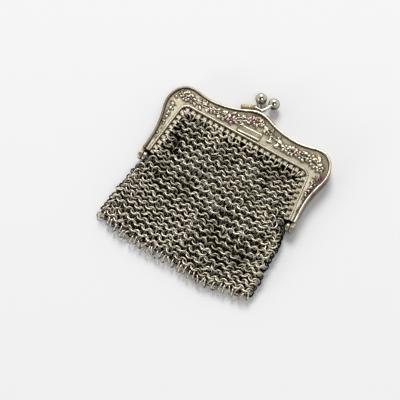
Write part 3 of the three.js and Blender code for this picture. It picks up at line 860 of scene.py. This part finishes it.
def leaf(points, centre, size, turn):
    """A pointed leaf with a middle vein and side veins."""
    x, y = local(points, centre, turn)
    along = x / (LEAF_LENGTH * size / 2)
    half = LEAF_WIDTH * size / 2 * np.clip(1 - np.abs(along) ** LEAF_POINT, 0, 1)
    across = np.abs(y) / (half + SMALL)
    inside = (np.abs(along) < 1) & (across < 1)
    vein = np.exp(-((y / (VEIN_WIDTH * size)) ** 2)) * VEIN_DEPTH
    ribs = RIB_HEIGHT * np.sin((x - np.abs(y) * RIB_SLANT) * 2 * math.pi / RIB_SPACING)
    slope = 1 - LEAF_SLOPE + LEAF_SLOPE * along
    body = dome(across**LEAF_CROWN) * slope - vein + ribs * (across < RIB_REACH)
    return np.where(inside, LEAF_RISE * np.clip(body, 0, LEAF_TALLEST), 0)


def berry(points, centre, size, turn):
    x, y = local(points, centre, turn)
    return BERRY_RISE * dome(np.clip(np.hypot(x, y) / (BERRY_RADIUS * size), 0, 1))


MOTIFS = {"blossom": blossom, "leaf": leaf, "berry": berry}


def stem(points, start, end, sag):
    """A thin stem bent sideways by its sag."""
    start = np.array(start)
    end = np.array(end)
    line = end - start
    length = np.linalg.norm(line)
    along = np.clip((points - start) @ line / length**2, 0, 1)
    side = np.array([-line[1], line[0]]) / length
    nearest = start + along[:, None] * line + (sag * np.sin(math.pi * along))[:, None] * side
    away = np.linalg.norm(points - nearest, axis=1) / STEM_RADIUS
    return STEM_RISE * dome(np.clip(away, 0, 1))


def plaque(points):
    """The bare cartouche: a slightly raised field with a border."""
    x = np.abs(points[:, 0]) - PLAQUE_WIDTH / 2 + PLAQUE_CORNER
    y = np.abs(points[:, 1] + PLAQUE_DROP) - PLAQUE_HEIGHT / 2 + PLAQUE_CORNER
    corner = np.hypot(np.maximum(x, 0), np.maximum(y, 0))
    outside = corner - PLAQUE_CORNER + np.minimum(np.maximum(x, y), 0)
    field = PLAQUE_RISE * np.clip(-outside / PLAQUE_EDGE, 0, 1)
    from_middle = (outside + PLAQUE_BORDER / 2) / (PLAQUE_BORDER / PLAQUE_BORDER_SOFTNESS)
    border = np.exp(-(from_middle**2))
    return np.maximum(field, (PLAQUE_RISE + PLAQUE_BORDER_RISE) * border), outside < 0


def arm_point(side, down, part):
    """A place on an arm's band, a part of the way from its edge to its bead."""
    shares = np.linspace(0.5, 1.0 if side > 0 else 0.0, ARM_CHECKS)
    edge = frame_curve(shares)
    at = shares[np.argmax(edge[:, 1] < -down * FRAME_HEIGHT)][None]
    return (frame_curve(at) * (1 - part) + bead_curve(at) * part)[0]


def relief_places():
    places = [
        (kind, np.array([across * FRAME_HALF_WIDTH, -down * FRAME_HEIGHT]), size, turn)
        for kind, across, down, size, turn in RELIEF_ROWS
    ]
    for side, down, size in BERRY_ROWS:
        places.append(("berry", arm_point(side, down, 0.5), size, 0))
    return places


def garland(places):
    """Stems between neighbouring blossoms and the small leaves and buds on them."""
    flowers = [row[1] for row in places if row[0] == "blossom"]
    stems = []
    sprigs = []
    for n, (start, end) in enumerate(zip(flowers, flowers[1:])):
        heading = math.degrees(math.atan2(end[1] - start[1], end[0] - start[0]))
        side = 1 if n % 2 else -1
        stems.append((start, end, side * STEM_SAG))
        stems.append((start, end, -side * STEM_SAG * SECOND_STEM))
        across = np.array([-(end - start)[1], (end - start)[0]])
        across /= np.linalg.norm(across)
        for m, part in enumerate(SPRIG_PARTS):
            flip = side if m % 2 else -side
            bow = flip * (STEM_SAG * math.sin(math.pi * part) + SPRIG_REACH)
            spot = start + (end - start) * part + across * bow
            kind = "berry" if m % 2 else "leaf"
            sprigs.append((kind, spot, SPRIG_SIZE, heading + flip * SPRIG_TURN))
    return stems, sprigs


def seeds(places):
    """Small berries scattered between the blossoms and down the arms."""
    random = np.random.default_rng(SEED_SEED)
    flowers = [row[1] for row in places if row[0] == "blossom"]
    scattered = []
    for _ in range(SEED_COUNT):
        n = random.integers(len(flowers) - 1)
        spot = flowers[n] + (flowers[n + 1] - flowers[n]) * random.uniform(0, 1)
        scattered.append(spot + random.normal(0, SEED_SPREAD, 2))
    for _ in range(ARM_SEED_COUNT):
        side = random.choice((-1, 1))
        down = random.uniform(*ARM_SEED_DOWN)
        scattered.append(arm_point(side, down, random.uniform(*ARM_SEED_PARTS)))
    return [("berry", spot, random.uniform(*SEED_SIZE), 0) for spot in scattered]


def relief_height(points):
    """Height of the relief at points of the band."""
    height, on_plaque = plaque(points)
    places = relief_places()
    stems, sprigs = garland(places)
    for start, end, sag in stems:
        drawn = stem(points, start, end, sag)
        height = np.where(on_plaque, height, np.maximum(height, drawn))
    for kind, centre, size, turn in seeds(places) + sprigs + places:
        near = np.linalg.norm(points - centre, axis=1) < BLOSSOM_RADIUS * MOTIF_REACH
        raised = MOTIFS[kind](points[near], centre, size, turn)
        raised = np.where(on_plaque[near], 0, raised)
        height[near] = np.maximum(height[near], raised)
    return height


def stained(points):
    """Where the cast metal has a purple stain: round some of its blossoms and on the right arm."""
    stain = np.zeros(len(points))
    for across, down, reach in STAIN_ROWS:
        centre = np.array([across * FRAME_HALF_WIDTH, -down * FRAME_HEIGHT])
        away = np.linalg.norm(points - centre, axis=1) / reach
        stain = np.maximum(stain, np.exp(-away**2))
    return stain


# One half of the frame

def band_profile(width):
    """Distances across the band and the heights there, for one half's section."""
    roll = np.linspace(math.pi, 0, RIM_STEPS)
    rim_d = RIM_WIDTH / 2 * (1 + np.cos(roll))
    rim_z = FACE_TOP - RIM_ROLL + RIM_ROLL * np.sin(roll)
    band = width - RIM_WIDTH - BEAD_WIDTH / 2
    step = np.linspace(0, 1, COVE_STEPS + BAND_STEPS)
    band_d = RIM_WIDTH + band * step
    low = FACE_TOP - COVE_DEPTH
    rise = np.clip((step - CROWN_START) / CROWN_REACH, 0, 1)
    fall = np.clip((step - FALL_START) / FALL_REACH, 0, 1)
    top = BAND_TOP - GROUND_DROP
    crown = low + (top - low) * rise**2 * (3 - 2 * rise)
    band_z = crown - (top - FACE_TOP + BEAD_SINK) * fall**2
    return rim_d, rim_z, band_d, band_z


def half_sections():
    """Points of one half's outside and inside, in rows along the frame."""
    shares = np.linspace(0, 1, ALONG_STEPS)
    edge = frame_curve(shares)
    bead = bead_curve(shares)
    into = inward(shares)
    across = bead - edge
    width = np.linalg.norm(across, axis=1)
    across /= width[:, None]
    bead_angle = np.linspace(math.pi, 0, BEAD_STEPS)
    flange_d = np.linspace(BEAD_WIDTH / 2, FLANGE_WIDTH - FLANGE_EDGE, FLANGE_STEPS)
    rows = []
    for n in range(ALONG_STEPS):
        rim_d, rim_z, band_d, band_z = band_profile(width[n])
        on_band = [(0, FOOT), (0, FACE_TOP - WALL_TOP_DROP)]
        on_band += list(zip(rim_d, rim_z))
        on_band += list(zip(band_d, band_z))
        on_flange = [
            (BEAD_WIDTH / 2 * math.cos(a), FACE_TOP - BEAD_SINK + BEAD_SINK * math.sin(a))
            for a in bead_angle
        ]
        on_flange += [(d, FLANGE_TOP) for d in flange_d]
        on_flange += [
            (FLANGE_WIDTH, FLANGE_TOP - FLANGE_EDGE),
            (FLANGE_WIDTH, FLANGE_TOP - FLANGE_PLATE),
            (-BEAD_WIDTH / 4, FLANGE_TOP - FLANGE_PLATE),
        ]
        back = [(SIDE_WALL, FACE_UNDER), (SIDE_WALL, FOOT)]
        flat = [np.r_[edge[n] + across[n] * d, z] for d, z in on_band]
        flat += [np.r_[bead[n] + into[n] * d, z] for d, z in on_flange]
        flat += [np.r_[edge[n] + across[n] * d, z] for d, z in back]
        rows.append(flat)
    return np.array(rows)


def softened(field, reach):
    """A grid of values averaged along both its sides."""
    for axis in (0, 1):
        total = np.zeros_like(field)
        for shift in range(-reach, reach + 1):
            total += np.roll(field, shift, axis)
        field = total / (2 * reach + 1)
    return field


def solid_object(name, points, faces, wear_and_shade=None):
    """A closed body of faces with any number of sides."""
    mesh = bpy.data.meshes.new(name)
    mesh.from_pydata((points * MM).tolist(), [], faces)
    if wear_and_shade is not None:
        add_layer(mesh, "wear_and_shade", wear_and_shade)
    shape = bmesh.new()
    shape.from_mesh(mesh)
    bmesh.ops.recalc_face_normals(shape, faces=shape.faces)
    shape.to_mesh(mesh)
    shape.free()
    return linked(name, mesh)


def combined(piece, other, operation):
    """Applies a boolean of two closed solids to the first and removes the second."""
    boolean = piece.modifiers.new("join", "BOOLEAN")
    boolean.solver = "MANIFOLD"
    boolean.operation = operation
    boolean.object = other
    depsgraph = bpy.context.evaluated_depsgraph_get()
    mesh = bpy.data.meshes.new_from_object(piece.evaluated_get(depsgraph))
    piece.modifiers.clear()
    piece.data = mesh
    bpy.data.objects.remove(other)
    return piece


def capped(rows, sides):
    """Faces of a closed tube of rings of points."""
    faces = grid_faces(rows, sides, False, True).tolist()
    faces.append(list(range(sides)))
    faces.append(list(range((rows - 1) * sides, rows * sides)))
    return faces


def lathe(profile, sides):
    """A closed body round the X axis through a profile of positions along it and radii."""
    turn = angles(sides)
    points = []
    for along, radius in profile:
        points.append(np.column_stack([
            np.full(sides, along),
            radius * np.cos(turn),
            radius * np.sin(turn),
        ]))
    return np.concatenate(points), capped(len(profile), sides)


def merged(parts):
    """Points, faces and shares of wear and painted shade of several bodies as one list each."""
    points = []
    faces = []
    wear_and_shade = []
    start = 0
    for (part_points, part_faces), part_wear_and_shade in parts:
        points.append(part_points)
        faces += [[start + corner for corner in face] for face in part_faces]
        wear_and_shade.append(np.broadcast_to(part_wear_and_shade, len(part_points)))
        start += len(part_points)
    return np.concatenate(points), faces, np.concatenate(wear_and_shade)


def lug(side, start):
    """A hinge lug: a disc with rounded edges and a bar that joins it to the arm."""
    rounding = np.linspace(0, math.pi / 2, LUG_ROUND_STEPS)
    edge = [
        (LUG_EDGE * (1 - math.sin(a)), LUG_RADIUS - LUG_EDGE * (1 - math.cos(a))) for a in rounding
    ]
    profile = [(start + along, radius) for along, radius in edge[::-1]]
    profile += [(start + LUG_WIDTH - along, radius) for along, radius in edge]
    disc, disc_faces = lathe(profile, LUG_SIDES)
    disc[:, 0] *= side
    disc[:, 1] += HINGE_Y
    reach = HINGE_DROP + LUG_JOIN
    height = FACE_TOP - COVE_DEPTH - FOOT
    corners = np.array([(x, y, z) for x in (0, 1) for y in (0, 1) for z in (0, 1)], float)
    bar = np.column_stack([
        side * (start + corners[:, 0] * LUG_WIDTH),
        HINGE_Y + corners[:, 1] * reach,
        FOOT + corners[:, 2] * height,
    ])
    bar_faces = [[0, 1, 3, 2], [4, 6, 7, 5], [0, 4, 5, 1], [2, 3, 7, 6], [0, 2, 6, 4], [1, 5, 7, 3]]
    return (disc, disc_faces), (bar, bar_faces)


def half_body(name, upward, lug_start):
    """One half of the frame. The back half is the front one turned over."""
    rows = half_sections()
    first = 2 + RIM_STEPS
    last = first + COVE_STEPS + BAND_STEPS
    band = rows[:, first:last]
    raised = relief_height(band[..., :2].reshape(-1, 2)).reshape(band.shape[:2])
    raised = softened(raised, 1)
    step = np.linspace(0, 1, last - first)
    fade = np.clip(step / RELIEF_START, 0, 1) * np.clip((1 - step) / RELIEF_END, 0, 1)
    band[..., 2] += raised * fade
    count = rows.shape[1]
    wear_and_shade = np.full(rows.shape[:2], WALL_WORN)
    share = raised / BLOSSOM_RISE
    crowded = sum(softened(share, reach) / len(CROWD_REACHES) for reach in CROWD_REACHES)
    pits = np.clip(crowded * PIT_CROWDING - share * PIT_HEIGHT, 0, 1)
    tops = np.clip(share - crowded, 0, 1)
    # The cove is painted dark as shade of its concave face, lightening towards the relief, and the groove
    # at the rim's foot is painted black as shade in the crease
    cove = np.clip(step / COVE_SHADE_REACH, 0, 1)
    wear_and_shade[:, first:last] = (COVE_SHADE + BAND_WORN * cove) * (1 - pits) + tops * TOP_SHINE
    wear_and_shade[:, first - 1:first + 2] = 0.0
    # The rolled rim gets a painted highlight on its crown, kept less on the frame's left side as painted
    # reflection
    rim = np.interp(np.arange(RIM_STEPS - 1), RIM_PLACES, RIM_HIGHLIGHT)
    rim_reflection = np.interp(rows[:, 0, 0], RIM_SIDES, RIM_REFLECTION)
    wear_and_shade[:, 2:first - 1] = rim_reflection[:, None] * rim
    wear_and_shade[:, last - 1] = INSIDE_WORN
    wear_and_shade[:, last + 2:last + BEAD_STEPS - 2] = BEAD_WORN
    wear_and_shade[:, last + BEAD_STEPS - 2:last + BEAD_STEPS] = BEAD_FOOT_WORN
    flange = rows[:, last + BEAD_STEPS:, :2]
    holes, _ = flange_holes()
    to_hole = np.linalg.norm(flange[:, :, None] - holes[None, None], axis=3).min(axis=2)
    past_hole = np.clip((to_hole - HOLE_RADIUS) / HOLE_STAIN, 0, 1)
    wear_and_shade[:, last + BEAD_STEPS:] = FLANGE_WORN * past_hole
    wear_and_shade[:, -INSIDE_COLUMNS:] = INSIDE_WORN
    faces = capped(ALONG_STEPS, count)
    piece = solid_object(name, finished(rows.reshape(-1, 3), upward), faces, wear_and_shade.ravel())
    stain = stained(rows[..., :2].reshape(-1, 2))
    add_layer(piece.data, "stain", stain)
    for side in (-1, 1):
        for points, lug_faces in lug(side, lug_start):
            lug_worn = np.full(len(points), RIVET_WORN)
            part = solid_object("lug", finished(points, upward), lug_faces, lug_worn)
            combined(piece, part, "UNION")
    combined(piece, hole_cutters(upward), "DIFFERENCE")
    return piece


def finished(points, upward):
    """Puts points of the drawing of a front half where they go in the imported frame."""
    points = points.copy()
    points[:, 2] = MIDDLE_LEVEL + upward * points[:, 2]
    return placed(points)


def hole_cutters(upward):
    """One object of round cutters for the flange's holes."""
    centres, _ = flange_holes()
    turn = angles(CUTTER_SIDES)
    ring = np.column_stack([HOLE_RADIUS * np.cos(turn), HOLE_RADIUS * np.sin(turn)])
    parts = []
    for centre in centres:
        low = np.column_stack([ring + centre, np.full(CUTTER_SIDES, FLANGE_TOP - FLANGE_PLATE * 2)])
        high = np.column_stack([ring + centre, np.full(CUTTER_SIDES, FLANGE_TOP + FLANGE_PLATE)])
        parts.append(((np.concatenate([low, high]), capped(2, CUTTER_SIDES)), 0))
    points, faces, _ = merged(parts)
    return solid_object("cutters", finished(points, upward), faces)


# Clasp

def rounded_box(size, edge, steps=3):
    """A box with rounded edges round its own middle."""
    shape = bmesh.new()
    bmesh.ops.create_cube(shape, size=1)
    bmesh.ops.scale(shape, vec=size, verts=shape.verts)
    bmesh.ops.bevel(
        shape, geom=shape.edges[:] + shape.verts[:], offset=edge, segments=steps, profile=0.5,
        affect="EDGES")
    points = np.array([vert.co[:] for vert in shape.verts])
    shape.verts.index_update()
    faces = [[vert.index for vert in face.verts] for face in shape.faces]
    shape.free()
    return points, faces


def ball(centre, radius, grid):
    """A ball with so many sides round it and rings up it."""
    sides, rings = grid
    turn = np.linspace(-math.pi / 2, math.pi / 2, rings + 1)[1:-1]
    profile = [(radius * math.sin(a), radius * math.cos(a)) for a in turn]
    points, faces = lathe(profile, sides)
    return points[:, [1, 2, 0]] + centre, faces


def smooth_path(points, steps):
    """A curve through points, by Catmull-Rom pieces."""
    points = np.array(points, float)
    ends = np.vstack([2 * points[0] - points[1], points, 2 * points[-1] - points[-2]])
    place = np.linspace(0, len(points) - 1, steps)
    row = np.minimum(place.astype(int), len(points) - 2)
    part = (place - row)[:, None]
    a, b, c, d = (ends[row + n] for n in range(4))
    return 0.5 * (
        2 * b + (c - a) * part + (2 * a - 5 * b + 4 * c - d) * part**2
        + (3 * b - a - 3 * c + d) * part**3
    )


def tube(path, radius):
    """A round tube along a path, closed at both ends."""
    along = unit(np.gradient(path, axis=0))
    across = unit(np.cross(along, [0.0, 0.0, 1.0]))
    up = np.cross(across, along)
    turn = angles(CLASP_ARM_SIDES)
    points = path[:, None] + radius * circles(turn, across, up)
    return points.reshape(-1, 3), capped(len(path), CLASP_ARM_SIDES)


def clasp(name, side, upward, tab_width):
    """A tab on the frame's edge, a bent arm and a polished ball."""
    shares = np.linspace(*TOP_SHARES, TOP_CHECKS)
    edge = frame_curve(shares)
    at = np.argmin(np.abs(edge[:, 0] - CLASP_SHIFT - side * TAB_OFFSET))
    along = unit(edge[at + NEAR_CHECKS] - edge[at - NEAR_CHECKS])
    outward = np.array([-along[1], along[0]])
    turn = math.atan2(along[1], along[0])
    tab, tab_faces = rounded_box((TAB_LENGTH, tab_width, TAB_THICKNESS), TAB_EDGE)
    spin = np.array([[math.cos(turn), math.sin(turn)], [-math.sin(turn), math.cos(turn)]])
    tab[:, :2] = tab[:, :2] @ spin
    tab[:, :2] += edge[at] + outward * (TAB_CLEARANCE + tab_width / 2)
    tab[:, 2] += TAB_LEVEL
    centre = np.array([CLASP_SHIFT - side * BALL_SPACING / 2, BALL_HEIGHT, BALL_LIFT])
    path = []
    for across, up, level in ARM_ROWS:
        height = BALL_LIFT + level * (TAB_LEVEL - BALL_LIFT)
        path.append((CLASP_SHIFT + side * across * TAB_OFFSET, up * BALL_HEIGHT, height))
    path.append(centre)
    arm = smooth_path(path, CLASP_ARM_STEPS)
    pin_place = edge[at] + outward * tab_width * PIN_ACROSS - along * side * PIN_SHIFT
    pin_centre = np.r_[pin_place, TAB_LEVEL + TAB_THICKNESS / 2 - PIN_SINK]
    pin, pin_faces = ball(np.zeros(3), PIN_RADIUS, PIN_GRID)
    pin[:, 2] *= PIN_FLATNESS
    sphere = ball(centre, BALL_RADIUS, BALL_GRID)
    # The ball's sides are painted dark as shade and its top bright
    facing_up = upward * (sphere[0][:, 2] - centre[2]) / BALL_RADIUS
    points, faces, wear_and_shade = merged([
        ((tab, tab_faces), TAB_WORN),
        (tube(arm, CLASP_ARM_RADIUS), 1.0),
        (sphere, np.interp(facing_up, BALL_LEVELS, BALL_SHADING)),
        ((pin + pin_centre, pin_faces), PIN_WORN),
    ])
    return solid_object(name, finished(points, upward), faces, wear_and_shade)


def hinge_rivet(name, side):
    inner = INNER_LUG_START - RIVET_CLEARANCE
    outer = OUTER_LUG_START + LUG_WIDTH + RIVET_CLEARANCE
    dome_turn = np.linspace(RIVET_HEAD_START, math.pi / 2, RIVET_HEAD_STEPS)
    head = [(RIVET_HEAD_DEPTH * math.cos(a), RIVET_HEAD_RADIUS * math.sin(a)) for a in dome_turn]
    profile = [(inner - along, radius) for along, radius in head]
    profile += [(inner, RIVET_RADIUS), (outer, RIVET_RADIUS)]
    profile += [(outer + along, radius) for along, radius in head[::-1]]
    points, faces = lathe(profile, RIVET_SIDES)
    points[:, 0] *= side
    points[:, 1] += HINGE_Y
    return solid_object(name, finished(points, 1), faces, np.full(len(points), RIVET_WORN))


# Materials

# Scale and detail of the noises in the metal, and the depth of its grain in metres
BLOTCHES = (260, 5.0)
SPOTS = (1400, 3.0)
GRAIN = (3200, 3.0)
SPOT_SHARE = 0.6
NOISE_ROUGHNESS = 0.55
GRAIN_DEPTH = 0.00006
# Angles in degrees past which an edge is drawn sharp
SHARP_ANGLE = 40
ROUND_ANGLE = 180


def material(name):
    made = bpy.data.materials.new(name)
    made.use_nodes = True
    nodes = made.node_tree.nodes
    links = made.node_tree.links
    return made, nodes, links, nodes["Principled BSDF"]


def ramp(nodes, links, source, stops):
    node = nodes.new("ShaderNodeValToRGB")
    links.new(source, node.inputs["Fac"])
    elements = node.color_ramp.elements
    # New stops start in the middle, and every stop gets its own place below
    while len(elements) < len(stops):
        elements.new(0.5)
    for element, (place, colour) in zip(elements, stops):
        element.position = place
        element.color = (*colour, 1)
    return node.outputs["Color"]


def noise(nodes, links, scale, detail):
    where = nodes.new("ShaderNodeTexCoord")
    node = nodes.new("ShaderNodeTexNoise")
    node.inputs["Scale"].default_value = scale
    node.inputs["Detail"].default_value = detail
    node.inputs["Roughness"].default_value = NOISE_ROUGHNESS
    links.new(where.outputs["Object"], node.inputs["Vector"])
    return node.outputs["Fac"]


def mixed(nodes, links, one, two, share):
    """one plus share times two less a half, so that the middle of two changes nothing."""
    node = nodes.new("ShaderNodeMath")
    node.operation = "MULTIPLY_ADD"
    shifted = nodes.new("ShaderNodeMath")
    shifted.operation = "SUBTRACT"
    links.new(two, shifted.inputs[0])
    shifted.inputs[1].default_value = 0.5
    links.new(shifted.outputs[0], node.inputs[0])
    node.inputs[1].default_value = share
    links.new(one, node.inputs[2])
    return node.outputs[0]


def with_stain(nodes, links, clean, stain_colour):
    """Blends to the stain's colour where the surface is stained."""
    layer = nodes.new("ShaderNodeAttribute")
    layer.attribute_name = "stain"
    blend = nodes.new("ShaderNodeMix")
    blend.data_type = "RGBA"
    links.new(layer.outputs["Fac"], blend.inputs["Factor"])
    links.new(clean, blend.inputs["A"])
    links.new(stain_colour, blend.inputs["B"])
    return blend.outputs["Result"]


def wear_and_shade_metal(name, stops, dull, bright, grain, blotch, edge, stain_stops=None):
    """Old metal: bright where it is worn or a highlight is painted, and dark and dull in its hollows and
    where shade is painted.

    The edge colour tints what it reflects at a slant."""
    made, nodes, links, shader = material(name)
    layer = nodes.new("ShaderNodeAttribute")
    layer.attribute_name = "wear_and_shade"
    patchy = mixed(nodes, links, layer.outputs["Fac"], noise(nodes, links, *BLOTCHES), blotch)
    patchy = mixed(nodes, links, patchy, noise(nodes, links, *SPOTS), blotch * SPOT_SHARE)
    colour = ramp(nodes, links, patchy, stops)
    if stain_stops:
        colour = with_stain(nodes, links, colour, ramp(nodes, links, patchy, stain_stops))
    links.new(colour, shader.inputs["Base Color"])
    rough = nodes.new("ShaderNodeMapRange")
    links.new(patchy, rough.inputs["Value"])
    rough.inputs["To Min"].default_value = dull
    rough.inputs["To Max"].default_value = bright
    links.new(rough.outputs["Result"], shader.inputs["Roughness"])
    bump = nodes.new("ShaderNodeBump")
    bump.inputs["Strength"].default_value = grain
    bump.inputs["Distance"].default_value = GRAIN_DEPTH
    links.new(noise(nodes, links, *GRAIN), bump.inputs["Height"])
    links.new(bump.outputs["Normal"], shader.inputs["Normal"])
    shader.inputs["Metallic"].default_value = 1.0
    shader.inputs["Specular Tint"].default_value = (*edge, 1)
    return made


def dressed(piece, metal, angle=SHARP_ANGLE):
    piece.data.materials.clear()
    piece.data.materials.append(metal)
    piece.data.polygons.foreach_set("use_smooth", np.ones(len(piece.data.polygons), bool))
    piece.data.set_sharp_from_angle(angle=math.radians(angle))
    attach(piece, "root")


frame_metal = wear_and_shade_metal("frame_silver", [
    (0.0, (0.03, 0.023, 0.014)),
    (0.3, (0.15, 0.126, 0.085)),
    (0.6, (0.45, 0.405, 0.305)),
    (1.0, (0.84, 0.80, 0.68)),
], dull=0.55, bright=0.26, grain=0.25, blotch=0.3, edge=(0.8, 0.74, 0.6), stain_stops=[
    (0.0, (0.03, 0.014, 0.018)),
    (0.35, (0.13, 0.06, 0.07)),
    (0.7, (0.36, 0.25, 0.25)),
    (1.0, (0.62, 0.52, 0.48)),
])
clasp_metal = wear_and_shade_metal("clasp_brass", [
    (0.0, (0.09, 0.07, 0.03)),
    (0.4, (0.42, 0.36, 0.20)),
    (0.8, (0.66, 0.62, 0.50)),
    (1.0, (0.68, 0.64, 0.53)),
], dull=0.45, bright=0.07, grain=0.03, blotch=0.12, edge=(0.3, 0.27, 0.16))
ring_metal = wear_and_shade_metal("ring_silver", [
    (0.0, (0.008, 0.006, 0.004)),
    (0.35, (0.033, 0.022, 0.009)),
    (0.6, (0.26, 0.225, 0.15)),
    (1.0, (0.74, 0.68, 0.54)),
], dull=0.6, bright=0.42, grain=0.15, blotch=0.2, edge=(0.32, 0.25, 0.14))

# The mesh

random = np.random.default_rng(RING_SEED)
centre, normal, row, place = ring_lattice(random)
kept = np.flatnonzero(inside_opening(centre))
centre = centre[kept]
normal = normal[kept]
down = row[kept] / (RING_ROWS - 1)
on_front = place[kept] < RINGS_AROUND / 2
hangers = hanger_rings(random)
closing, closing_normal = hem_rings(random)
closing = np.concatenate([closing, [row[0] for row in CORNER_ROWS]])
closing_normal = np.concatenate([closing_normal, unit(np.array([row[1] for row in CORNER_ROWS]))])
fixed = len(hangers[0][0])
kind = np.repeat(["linked", "hanger", "closing"], [len(centre), 2 * fixed, len(closing)])
centre = np.concatenate([centre, hangers[0][0], hangers[1][0], closing])
normal = np.concatenate([normal, hangers[0][1], hangers[1][1], closing_normal])
down = np.concatenate([down, np.zeros(2 * fixed), np.ones(len(closing))])
hanger_front = np.repeat([True, False], fixed)
on_front = np.concatenate([on_front, hanger_front, np.ones(len(closing), bool)])
freedom = np.where(kind == "hanger", HANGER_FREEDOM, 1.0)
centre, normal = settle(centre, normal, near_pairs(centre), freedom, SETTLE_STEPS)
front_level = column(BAG_ROWS, 0, down, 3)
half_layer = (front_level - BACK_LAYER) / 2
middle = np.column_stack([(front_level + BACK_LAYER) / 2, half_layer + PROUD_MARGIN])
# Random tone per ring, the back layer painted darker as shade under the front one, and the closing rings
# at the hem lifted out of that painted shade
tone_and_shade = random.normal(0, TONE_JITTER, len(centre))
tone_and_shade += np.where(kind == "closing", HEM_TONE, 0) + np.where(on_front, 0, BACK_LAYER_SHADE)
upper = centre[:, 1] > SPLIT_LINE
for name, pick, sides in (
    ("rings_front_upper", on_front & upper, FRONT_RING_SIDES),
    ("rings_front_lower", on_front & ~upper, FRONT_RING_SIDES),
    ("rings_back_upper", ~on_front & upper, BACK_RING_SIDES),
    ("rings_back_lower", ~on_front & ~upper, BACK_RING_SIDES),
):
    sheet = ring_mesh(name, placed(centre[pick]), normal[pick], middle[pick], tone_and_shade[pick], sides)
    dressed(sheet, ring_metal, ROUND_ANGLE)
    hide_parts("mesh_bag")

for piece, metal, slot, node in (
    (half_body("frame_front", 1, OUTER_LUG_START), frame_metal, "frame_metal", "front_frame"),
    (half_body("frame_back", -1, INNER_LUG_START), frame_metal, "frame_metal", "back_frame"),
    (clasp("clasp_front_ball", -1, 1, TAB_WIDTH), clasp_metal, "clasp_metal", "clasp_front"),
    (clasp("clasp_back_ball", 1, -1, BACK_TAB_WIDTH), clasp_metal, "clasp_metal", "clasp_back"),
    (hinge_rivet("rivet_left", -1), frame_metal, "frame_metal", "hinge_rivet_left"),
    (hinge_rivet("rivet_right", 1), frame_metal, "frame_metal", "hinge_rivet_right"),
):
    dressed(piece, metal)
    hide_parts(node)

# Table, light and camera

TABLE_REACH = 1.5
TABLE_COLOUR = (0.862, 0.862, 0.87, 1)
TABLE_ROUGHNESS = 0.7
LIGHT_ROWS = [
    # name, metres to the right, up and above the table as the camera sees it, size, watts
    ("key", 0.0, 2.0, 1.9, 1.3, 52),
    ("top", 0.6, -1.3, 2.2, 1.2, 12),
    ("side", -2.0, -1.2, 0.5, 0.6, 10),
]
# The room is pale all round and dark overhead, on the side that the photo was taken from
OVERHEAD = (0.19, -0.35, 0.917)
ROOM_RANGE = (0.45, 0.95)
ROOM_STRENGTHS = (0.7, 0.03)
# Nearest distance in metres that the camera sees
CLIP_START = 0.01

aim = Vector((PLACE_X + AIM[0], PLACE_Y + AIM[1], 0)) * MM
floor_mesh = bpy.data.meshes.new("table")
corners = [
    (aim.x + x * TABLE_REACH, aim.y + y * TABLE_REACH, 0) for x, y in ((-1, -1), (1, -1), (1, 1), (-1, 1))
]
floor_mesh.from_pydata(corners, [], [(0, 1, 2, 3)])
table = linked("table", floor_mesh)
made, nodes, links, shader = material("table_white")
shader.inputs["Base Color"].default_value = TABLE_COLOUR
shader.inputs["Roughness"].default_value = TABLE_ROUGHNESS
floor_mesh.materials.append(made)

across = Vector((math.cos(CAMERA_AZIMUTH), math.sin(CAMERA_AZIMUTH), 0))
away = Vector((-math.sin(CAMERA_AZIMUTH), math.cos(CAMERA_AZIMUTH), 0))
for name, right, up, height, size, watts in LIGHT_ROWS:
    lamp = bpy.data.lights.new(name, "AREA")
    lamp.shape = "DISK"
    lamp.size = size
    lamp.energy = watts
    holder = linked(name, lamp)
    holder.location = aim + across * right + away * up + Vector((0, 0, height))
    holder.rotation_euler = (aim - holder.location).to_track_quat("-Z", "Y").to_euler()

world = bpy.data.worlds.new("room")
world.use_nodes = True
nodes = world.node_tree.nodes
links = world.node_tree.links
heading = nodes.new("ShaderNodeTexCoord")
facing = nodes.new("ShaderNodeVectorMath")
facing.operation = "DOT_PRODUCT"
facing.inputs[1].default_value = OVERHEAD
links.new(heading.outputs["Generated"], facing.inputs[0])
gloom = nodes.new("ShaderNodeMapRange")
gloom.interpolation_type = "SMOOTHSTEP"
gloom.inputs["From Min"].default_value, gloom.inputs["From Max"].default_value = ROOM_RANGE
gloom.inputs["To Min"].default_value, gloom.inputs["To Max"].default_value = ROOM_STRENGTHS
links.new(facing.outputs["Value"], gloom.inputs["Value"])
links.new(gloom.outputs["Result"], nodes["Background"].inputs["Strength"])
nodes["Background"].inputs["Color"].default_value = (1.0, 1.0, 1.0, 1.0)
bpy.context.scene.world = world

camera_data = bpy.data.cameras.new("camera")
camera_data.sensor_width = SENSOR_WIDTH
camera_data.lens = SENSOR_WIDTH * FOCAL_PIXELS / PHOTO_SIZE
camera_data.clip_start = CLIP_START
camera = linked("camera", camera_data)
toward = Vector((
    math.sin(CAMERA_AZIMUTH) * math.cos(CAMERA_ELEVATION),
    -math.cos(CAMERA_AZIMUTH) * math.cos(CAMERA_ELEVATION),
    math.sin(CAMERA_ELEVATION),
))
camera.location = aim + toward * CAMERA_DISTANCE * MM
camera.rotation_euler = (aim - camera.location).to_track_quat("-Z", "Y").to_euler()
bpy.context.scene.camera = camera
bpy.context.scene.view_settings.view_transform = "Standard"
